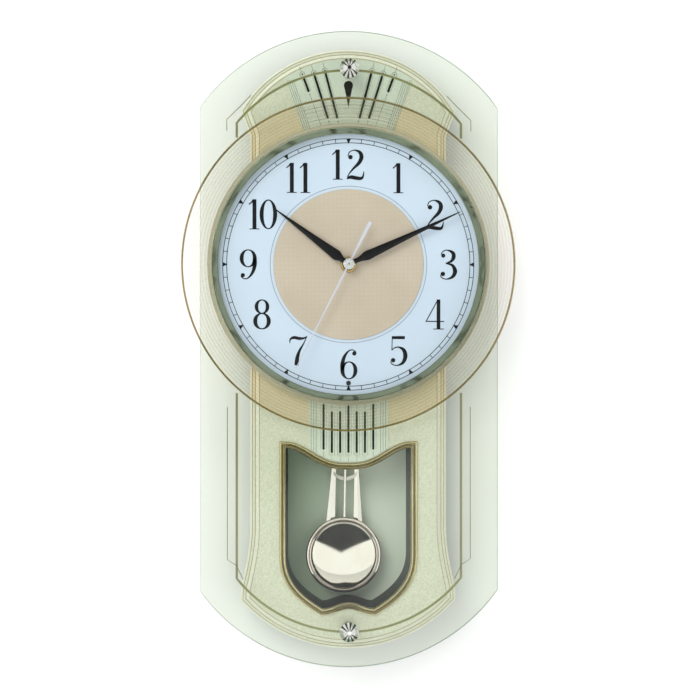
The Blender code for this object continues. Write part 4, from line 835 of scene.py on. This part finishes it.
prism(cutters, shaftHole, face - 4, face + 1)
for node in ("upper_grille_cloth", "lower_grille_cloth"):
    box = span(node)
    taper = fanHalf(box["up"]) - fanHalf(box["down"]) if node == "upper_grille_cloth" else 0
    prism(cutters, [
        (box["left"] + taper, box["down"]), (box["right"] - taper, box["down"]), (box["right"], box["up"]),
        (box["left"], box["up"]),
    ], face - 4, face + 1)
finishPiece(shell, "moulded_case_front", "case", "champagne_lacquer", ["case_front"], 6, [hollow, cutters])

groove = bmesh.new()
for inset, half, seat in ((1.92, 0.3, face - 3.24), (4.32, 0.26, face - 2.84), (7.9, 0.2, face + 0.01)):
    ribbon(groove, [(x, y, half) for x, y in offset(caseEdge, -inset)], seat, seat + 0.05, closed=True)
finishPiece(groove, "case_groove_lines", "case", "champagne_lacquer", finish=tanGrooveLines)
print("case made")


# Pendulum window: trim, the painted shade in its groove, and the well

trim = span("window_trim")
base = face + 0.3
high = trim["front"]
section = [
    (0, trim["back"]), (1.7, trim["back"]), (1.7, base), (window["trim"], base), (window["trim"], base + 1.0),
    (window["trim"] - 0.3, base + 1.6), (4.6, base + 2.0), (4.0, base + 1.9), (3.5, base + 1.3), (3.3, base + 0.9),
    (2.4, base + 0.9), (2.2, base + 1.3), (1.9, base + 2.1), (1.4, high - 0.1), (0.8, high), (0.3, high - 0.4),
    (0, high - 1.2),
]
frameWork = bmesh.new()
skin(frameWork, [[(x, y, out) for x, y in offset(windowEdge, d)] for d, out in section], closed=True)
finishPiece(frameWork, "plated_window_trim", "case", "gold_plate", ["window_trim"], 35)

# painted shade: a dark olive line along the bottom of the trim's groove
painted = bmesh.new()
ribbon(painted, [(x, y, 0.4) for x, y in offset(windowEdge, 2.85)], base + 0.92, base + 0.98, closed=True)
finishPiece(painted, "trim_groove_painted_shade", "case", "gold_plate", finish=grooveShade)

well = span("window_surround")
start = next(i for i, (x, y) in enumerate(windowEdge) if x > 0 and y >= window["top"] - 0.01)
end = next(i for i, (x, y) in enumerate(windowEdge) if x < 0 and y >= window["top"] - 0.01)


def wellEdge(distance):
    moved = offset(windowEdge, distance)
    lower = [moved[i % len(moved)] for i in range(end + 1, len(moved) + start)]
    return [(moved[end][0], window["top"])] + lower + [(moved[start][0], window["top"])]


walls = bmesh.new()
skin(walls, [
    [(x, y, out) for x, y in wellEdge(1.0 - draft) + wellEdge(2.5 - draft)[::-1]]
    for out, draft in (
        (well["back"], 3.0), (well["back"] + 1.0, 2.9), (well["front"] - 1.0, 0.1), (well["front"], 0.0),
    )
])
finishPiece(walls, "lined_window_well", "case", "black_plastic", ["window_surround"], 25, finish=wellGloss)
print("window made")


# Slotted strips with their engraved lines

strip = span("lower_slot_panel")
crest = strip["front"]
slots = {"pitch": 7.07, "width": 1.9, "recess": 3.8, "depth": 0.3, "upperWidth": 2.1, "line": 0.16}
lowerSlots = [
    ((i * slots["pitch"], -85.0 if abs(i) == 3 else -91.0), (i * slots["pitch"], -47.5 if i % 3 == 0 else -54.0))
    for i in range(-3, 4)
]
upperSlots = []
for side in (-1, 1):
    for k in (1, 2, 3):
        ends = (220.0 if k == 3 else 197.5, (234.6, 232.5, 231.4)[k - 1])
        upperSlots.append([(side * (1.5 + 8.1 * k + (0.21 + 0.052 * k) * (y - 197.5)), y) for y in ends])

reach = strip["right"]
lowerOutline = [(x, aboveTrim(x)) for x in [reach * (i / 20 - 1) for i in range(41)]]
lowerOutline += [(reach, strip["up"]), (-reach, strip["up"])]
plate = bmesh.new()
prism(plate, lowerOutline, strip["back"], crest)
cutters = bmesh.new()
for low, top in lowerSlots:
    wide, narrow = slotShape(slots["recess"], low, top), slotShape(slots["width"], low, top)
    skin(cutters, [[(x, y, out) for x, y in ring] for ring, out in (
        (narrow, strip["back"] - 1), (narrow, crest - slots["depth"]), (wide, crest - slots["depth"] + 0.05),
        (wide, crest + 1),
    )])
finishPiece(plate, "engraved_lower_strip", "case", "silver_lacquer", ["lower_slot_panel"], 30, [cutters])

upper = span("upper_slot_panel")
begin = acos(fan["top"] / fan["radius"])
fanOutline = [(-fanHalf(upper["down"]), upper["down"]), (fanHalf(upper["down"]), upper["down"])]
fanOutline += arc((0, fanCentre), fan["radius"], begin, pi - begin, 40)
plate = bmesh.new()
prism(plate, fanOutline, upper["back"], crest)
cutters = bmesh.new()
for low, top in upperSlots:
    prism(cutters, slotShape(slots["upperWidth"], low, top), upper["back"] - 1, crest + 1)
drop = arc((0, 225.0), 3.9, -radians(25), pi + radians(25), 28) + [(-1.9, 216.0), (0, 205.5), (1.9, 216.0)]
prism(cutters, drop, upper["back"] - 1, crest + 1)
prism(cutters, [(x, y + studs[0]) for x, y in arc((0, 0), 2.3, 0, tau * 23 / 24, 23)], upper["back"] - 1, crest + 1)
finishPiece(plate, "engraved_upper_strip", "case", "silver_lacquer", ["upper_slot_panel"], 30, [cutters])

# painted shade: each engraved line is a thin dark olive strip laid on the surface in place of the shade inside the
# engraving
engraved, dots = bmesh.new(), bmesh.new()
lineLow, lineHigh = crest + 0.01, crest + 0.06


def scribe(work, points, half=slots["line"]):
    ribbon(work, [(x, y, half) for x, y in points], lineLow, lineHigh)


for low, top in lowerSlots:
    scribe(engraved, [(low[0], low[1] - 2.4), (low[0], aboveTrim(low[0]) + 0.4)])
    scribe(engraved, [(top[0], top[1] + 2.4), (top[0], strip["up"] - 1)])
    for side in (-1, 1):
        scribe(engraved, [(low[0] + side * 2.35, low[1]), (low[0] + side * 2.35, top[1])], 0.1)
for side in (-1, 1):
    for x in (27.5, 29.6, 31.8):
        scribe(engraved, [(side * x, aboveTrim(x) + 0.4), (side * x, strip["up"] - 1)])
    for inset in (1.0, 2.8, 4.6, 6.4):
        scribe(engraved, [(side * (fanHalf(y) - inset), y) for y in (upper["down"] + 0.5, fanTopUp - 1.5)])
for low, top in upperSlots:
    run = complex(top[0] - low[0], top[1] - low[1])
    run /= abs(run)
    eye = (top[0] + run.real * 3.0, top[1] + run.imag * 3.0)
    heading = atan2(run.imag, run.real)
    scribe(engraved, arc(eye, 2.1, heading - 2.3, heading + 2.3, 24), 0.2)
    scribe(engraved, [(eye[0] + run.real * step, eye[1] + run.imag * step) for step in (2.1, 7)])
    prism(dots, arc(eye, 0.75, 0, tau * 19 / 20, 19), lineLow, lineHigh)
    foot = (low[0] - run.real * 3.4, low[1] - run.imag * 3.4)
    prism(dots, arc(foot, 0.5, 0, tau * 15 / 16, 15), lineLow, lineHigh)
    toEdge = foot[1] - upper["down"] - 1
    scribe(engraved, [(foot[0] - run.real * step, foot[1] - run.imag * step) for step in (1.0, toEdge)])
    for side in (-1, 1):
        shift = (side * 1.9 * run.imag, -side * 1.9 * run.real)
        scribe(engraved, [(low[0] + shift[0], low[1] + shift[1]), (top[0] + shift[0], top[1] + shift[1])], 0.1)
for radius in (126.0, 129.5, 133.0, 136.5):
    half = asin((fanHalf(axisUp + radius) - 8) / radius)
    scribe(engraved, [(x, y + axisUp) for x, y in arc((0, 0), radius, pi / 2 - half, pi / 2 + half, 40)], 0.1)
finishPiece(engraved, "strip_engraving", "case", "silver_lacquer", finish=grooveShade)
finishPiece(dots, "strip_dots", "case", "silver_lacquer", finish=ink)
print("strips made")


# Pendulum, drawn hanging straight and leaned as the CAD stands at rest

pivot = [value * 1000 for value in joints["pendulum_swing"]["pos_m"]]
bob = span("bob_dome")
bobX, bobUp = (bob["left"] + bob["right"]) / 2, (bob["down"] + bob["up"]) / 2
lean = degrees(atan2(pivot[0] - bobX, pivot[2] - bobUp))
dropBy = hypot(pivot[0] - bobX, pivot[2] - bobUp)
hung = placed(pivot[0], pivot[2], lean)
onBob = placed(bobX, bobUp, lean)
radius = (bob["right"] - bob["left"]) / 2
low = bob["back"]

shell = bmesh.new()
profile = [
    (0, low), (radius - 0.3, low), (radius, low + 0.4), (radius, low + 1.4), (radius - 0.4, low + 2.0),
    (radius - 1.0, low + 2.3), (radius - 1.8, low + 2.1), (radius - 2.3, low + 1.4), (radius - 2.6, low + 1.0),
    (radius - 3.1, low + 1.0),
]
dome, crown = radius - 3.8, bob["front"] - (low + 1.2)
profile += [(dome * cos(t * pi / 36), low + 1.2 + crown * sin(t * pi / 36)) for t in range(18)]
profile.append((0, bob["front"]))
turned(shell, profile, onBob, 144)
finishPiece(shell, "spun_bob_dome", "pendulum", "gold_plate", ["bob_dome"], 35, finish=bobPlate)

# painted shade: a dark olive line in the groove round the bob
line = bmesh.new()
turned(line, [(radius - 3.3, low + 1.05), (radius - 2.7, low + 1.05), (radius - 2.7, low + 1.12),
              (radius - 3.3, low + 1.12)], onBob, 144)
finishPiece(line, "bob_groove_line", "pendulum", "gold_plate", finish=grooveShade)

rear = span("bob_back")
rearRadius = (rear["right"] - rear["left"]) / 2
shell = bmesh.new()
turned(shell, [(0, rear["back"]), (rearRadius - 1.2, rear["back"]), (rearRadius, rear["back"] + 1.0),
               (rearRadius, rear["front"] - 0.5), (rearRadius - 0.5, rear["front"]), (0, rear["front"])], onBob, 96)
finishPiece(shell, "turned_bob_back", "pendulum", "brass", ["bob_back"], 35)

arms = {"rod": 1.35, "top": -40.3, "low": 8 - dropBy, "inner": 8.0, "bladeTop": -66.0, "bladeLow": 22 - dropBy,
        "bar": -105.0, "reach": 10.2, "sag": 5.0, "thick": 3.2}
bladeWidths = ((arms["bladeTop"], 0.9), (arms["bladeLow"], 8.3))
plane = -pivot[1]
rods = bmesh.new()
skin(rods, [
    [(arms["rod"] * cos(tau * i / 32), y, plane + arms["rod"] * sin(tau * i / 32)) for i in range(32)]
    for y in (arms["low"], arms["top"])
], hung)
for side in (-1, 1):
    skin(rods, [
        [(side * arms["inner"], y, plane - 1), (side * (arms["inner"] + w), y, plane - 1),
         (side * (arms["inner"] + w), y, plane - 0.3), (side * (arms["inner"] + w * 0.52), y, plane + 0.7),
         (side * arms["inner"], y, plane - 0.3)]
        for y, w in bladeWidths
    ], hung)
bend = (arms["reach"] ** 2 + arms["sag"] ** 2) / (2 * arms["sag"])
spread = asin(arms["reach"] / bend)
middle = (0, arms["bar"] - arms["sag"] + bend)
outerBar = arc(middle, bend, -pi / 2 - spread, -pi / 2 + spread, 24)
innerBar = arc((0, middle[1] + arms["thick"]), bend, -pi / 2 + spread, -pi / 2 - spread, 24)
prism(rods, outerBar + innerBar, plane - 0.7, plane + 0.85, hung)
finishPiece(rods, "plated_pendulum_arms", "pendulum", "gold_plate", ["pendulum_frame"], 20, finish=bobPlate)
# painted shade: dark olive lines along both edges of each blade
outlines = bmesh.new()
for side in (-1, 1):
    for share in (0.0, 1.0):
        edge = [(side * (arms["inner"] + share * w), y, 0.14) for y, w in bladeWidths]
        ribbon(outlines, edge, plane - 0.28, plane - 0.2, hung)
finishPiece(outlines, "blade_outlines", "pendulum", "gold_plate", finish=grooveShade)
print("pendulum made")


# Stage: white wall and floor, soft light, camera

low, high = (Vector(corner) for corner in cadBounds)


def stagePanel(name, corners, material):
    mesh = bpy.data.meshes.new(name)
    mesh.from_pydata(corners, [], [range(len(corners))])
    mesh.materials.append(material)
    made = bpy.data.objects.new(name, mesh)
    bpy.context.scene.collection.objects.link(made)


paint, tree, shader, where = newMaterial("matt_wall_paint")  # roller texture, seen only from the room side
stipple = addNode(tree, "ShaderNodeTexNoise", {"Scale": 1000 / 3, "Detail": 4.0}, {"Vector": where}).outputs["Fac"]
relief = addNode(tree, "ShaderNodeBump", {"Strength": 0.05, "Distance": 0.0001}, {"Height": stipple})
tree.links.new(relief.outputs["Normal"], shader.inputs["Normal"])
shader.inputs["Base Color"].default_value = hexColour("e8e8e7")
shader.inputs["Roughness"].default_value = 0.8
shader.inputs["Emission Color"].default_value = hexColour("ffffff")
shader.inputs["Emission Strength"].default_value = 0.12
behind = addNode(tree, "ShaderNodeNewGeometry").outputs["Backfacing"]
clear = addNode(tree, "ShaderNodeBsdfTransparent")
oneSided = addNode(tree, "ShaderNodeMixShader", links={0: behind, 1: shader.outputs[0], 2: clear.outputs[0]})
tree.links.new(oneSided.outputs[0], tree.nodes["Material Output"].inputs["Surface"])
room = {"wide": 2.2, "tall": 1.6, "floor": -1.3, "deep": 3.0, "clear": 0.0008}
y = high.y + room["clear"]
wide, floor = room["wide"], room["floor"]
stagePanel("studio_wall", [
    (-wide, y, floor), (wide, y, floor), (wide, y, room["tall"]), (-wide, y, room["tall"]),
], paint)
stagePanel("studio_floor", [
    (-wide, y, floor), (-wide, -room["deep"], floor), (wide, -room["deep"], floor), (wide, y, floor),
], paint)

world = bpy.data.worlds.new("soft_studio")
bpy.context.scene.world = world
world.use_nodes = True
tree = world.node_tree
heading = addNode(tree, "ShaderNodeTexCoord").outputs["Generated"]
parts = addNode(tree, "ShaderNodeSeparateXYZ", links={0: heading})
sideways = addNode(tree, "ShaderNodeMath", links={0: parts.outputs["X"]}, operation="ABSOLUTE").outputs[0]
fanWidth = addNode(tree, "ShaderNodeMath", {1: 0.5}, {0: sideways}, operation="MULTIPLY").outputs[0]
above = addNode(tree, "ShaderNodeMath", links={0: parts.outputs["Z"], 1: fanWidth}, operation="SUBTRACT").outputs[0]
fanned = addNode(tree, "ShaderNodeMapRange", {"From Min": -0.1, "From Max": -0.07},
                 {"Value": above}).outputs["Result"]
ahead = addNode(tree, "ShaderNodeMapRange", {"From Min": -0.55, "From Max": -0.75},
                {"Value": parts.outputs["Y"]}).outputs["Result"]
dark = addNode(tree, "ShaderNodeMath", links={0: fanned, 1: ahead}, operation="MULTIPLY").outputs[0]
lit = addNode(tree, "ShaderNodeMapRange", {"To Min": 1.24, "To Max": 1.75}, {"Value": ahead}).outputs["Result"]
level = addNode(tree, "ShaderNodeMix", {3: 0.05}, {0: dark, 2: lit}).outputs[0]
tree.links.new(level, tree.nodes["Background"].inputs["Strength"])
tree.nodes["Background"].inputs["Color"].default_value = hexColour("f4f6f8")

light = bpy.data.lights.new("key_softbox", "AREA")
light.shape, light.size, light.energy = "SQUARE", 1.4, 36
key = bpy.data.objects.new("key_softbox", light)
bpy.context.scene.collection.objects.link(key)
key.location = (-0.9, -1.9, 1.2)
key.visible_glossy = False
key.rotation_euler = (Vector((0, 0, 0)) - key.location).to_track_quat("-Z", "Y").to_euler()

lens = bpy.data.cameras.new("front_camera")
lens.lens, lens.sensor_width, lens.clip_start = 91.8, 36, 0.05
viewer = bpy.data.objects.new("front_camera", lens)
bpy.context.scene.collection.objects.link(viewer)
aim = Vector((0.0006, -glass["front"] / 1000, -0.0008))
viewer.location = aim + Vector((-0.05, -1.5, 0))
viewer.rotation_euler = (aim - viewer.location).to_track_quat("-Z", "Y").to_euler()
scene = bpy.context.scene
scene.camera = viewer
scene.view_settings.view_transform = "Standard"
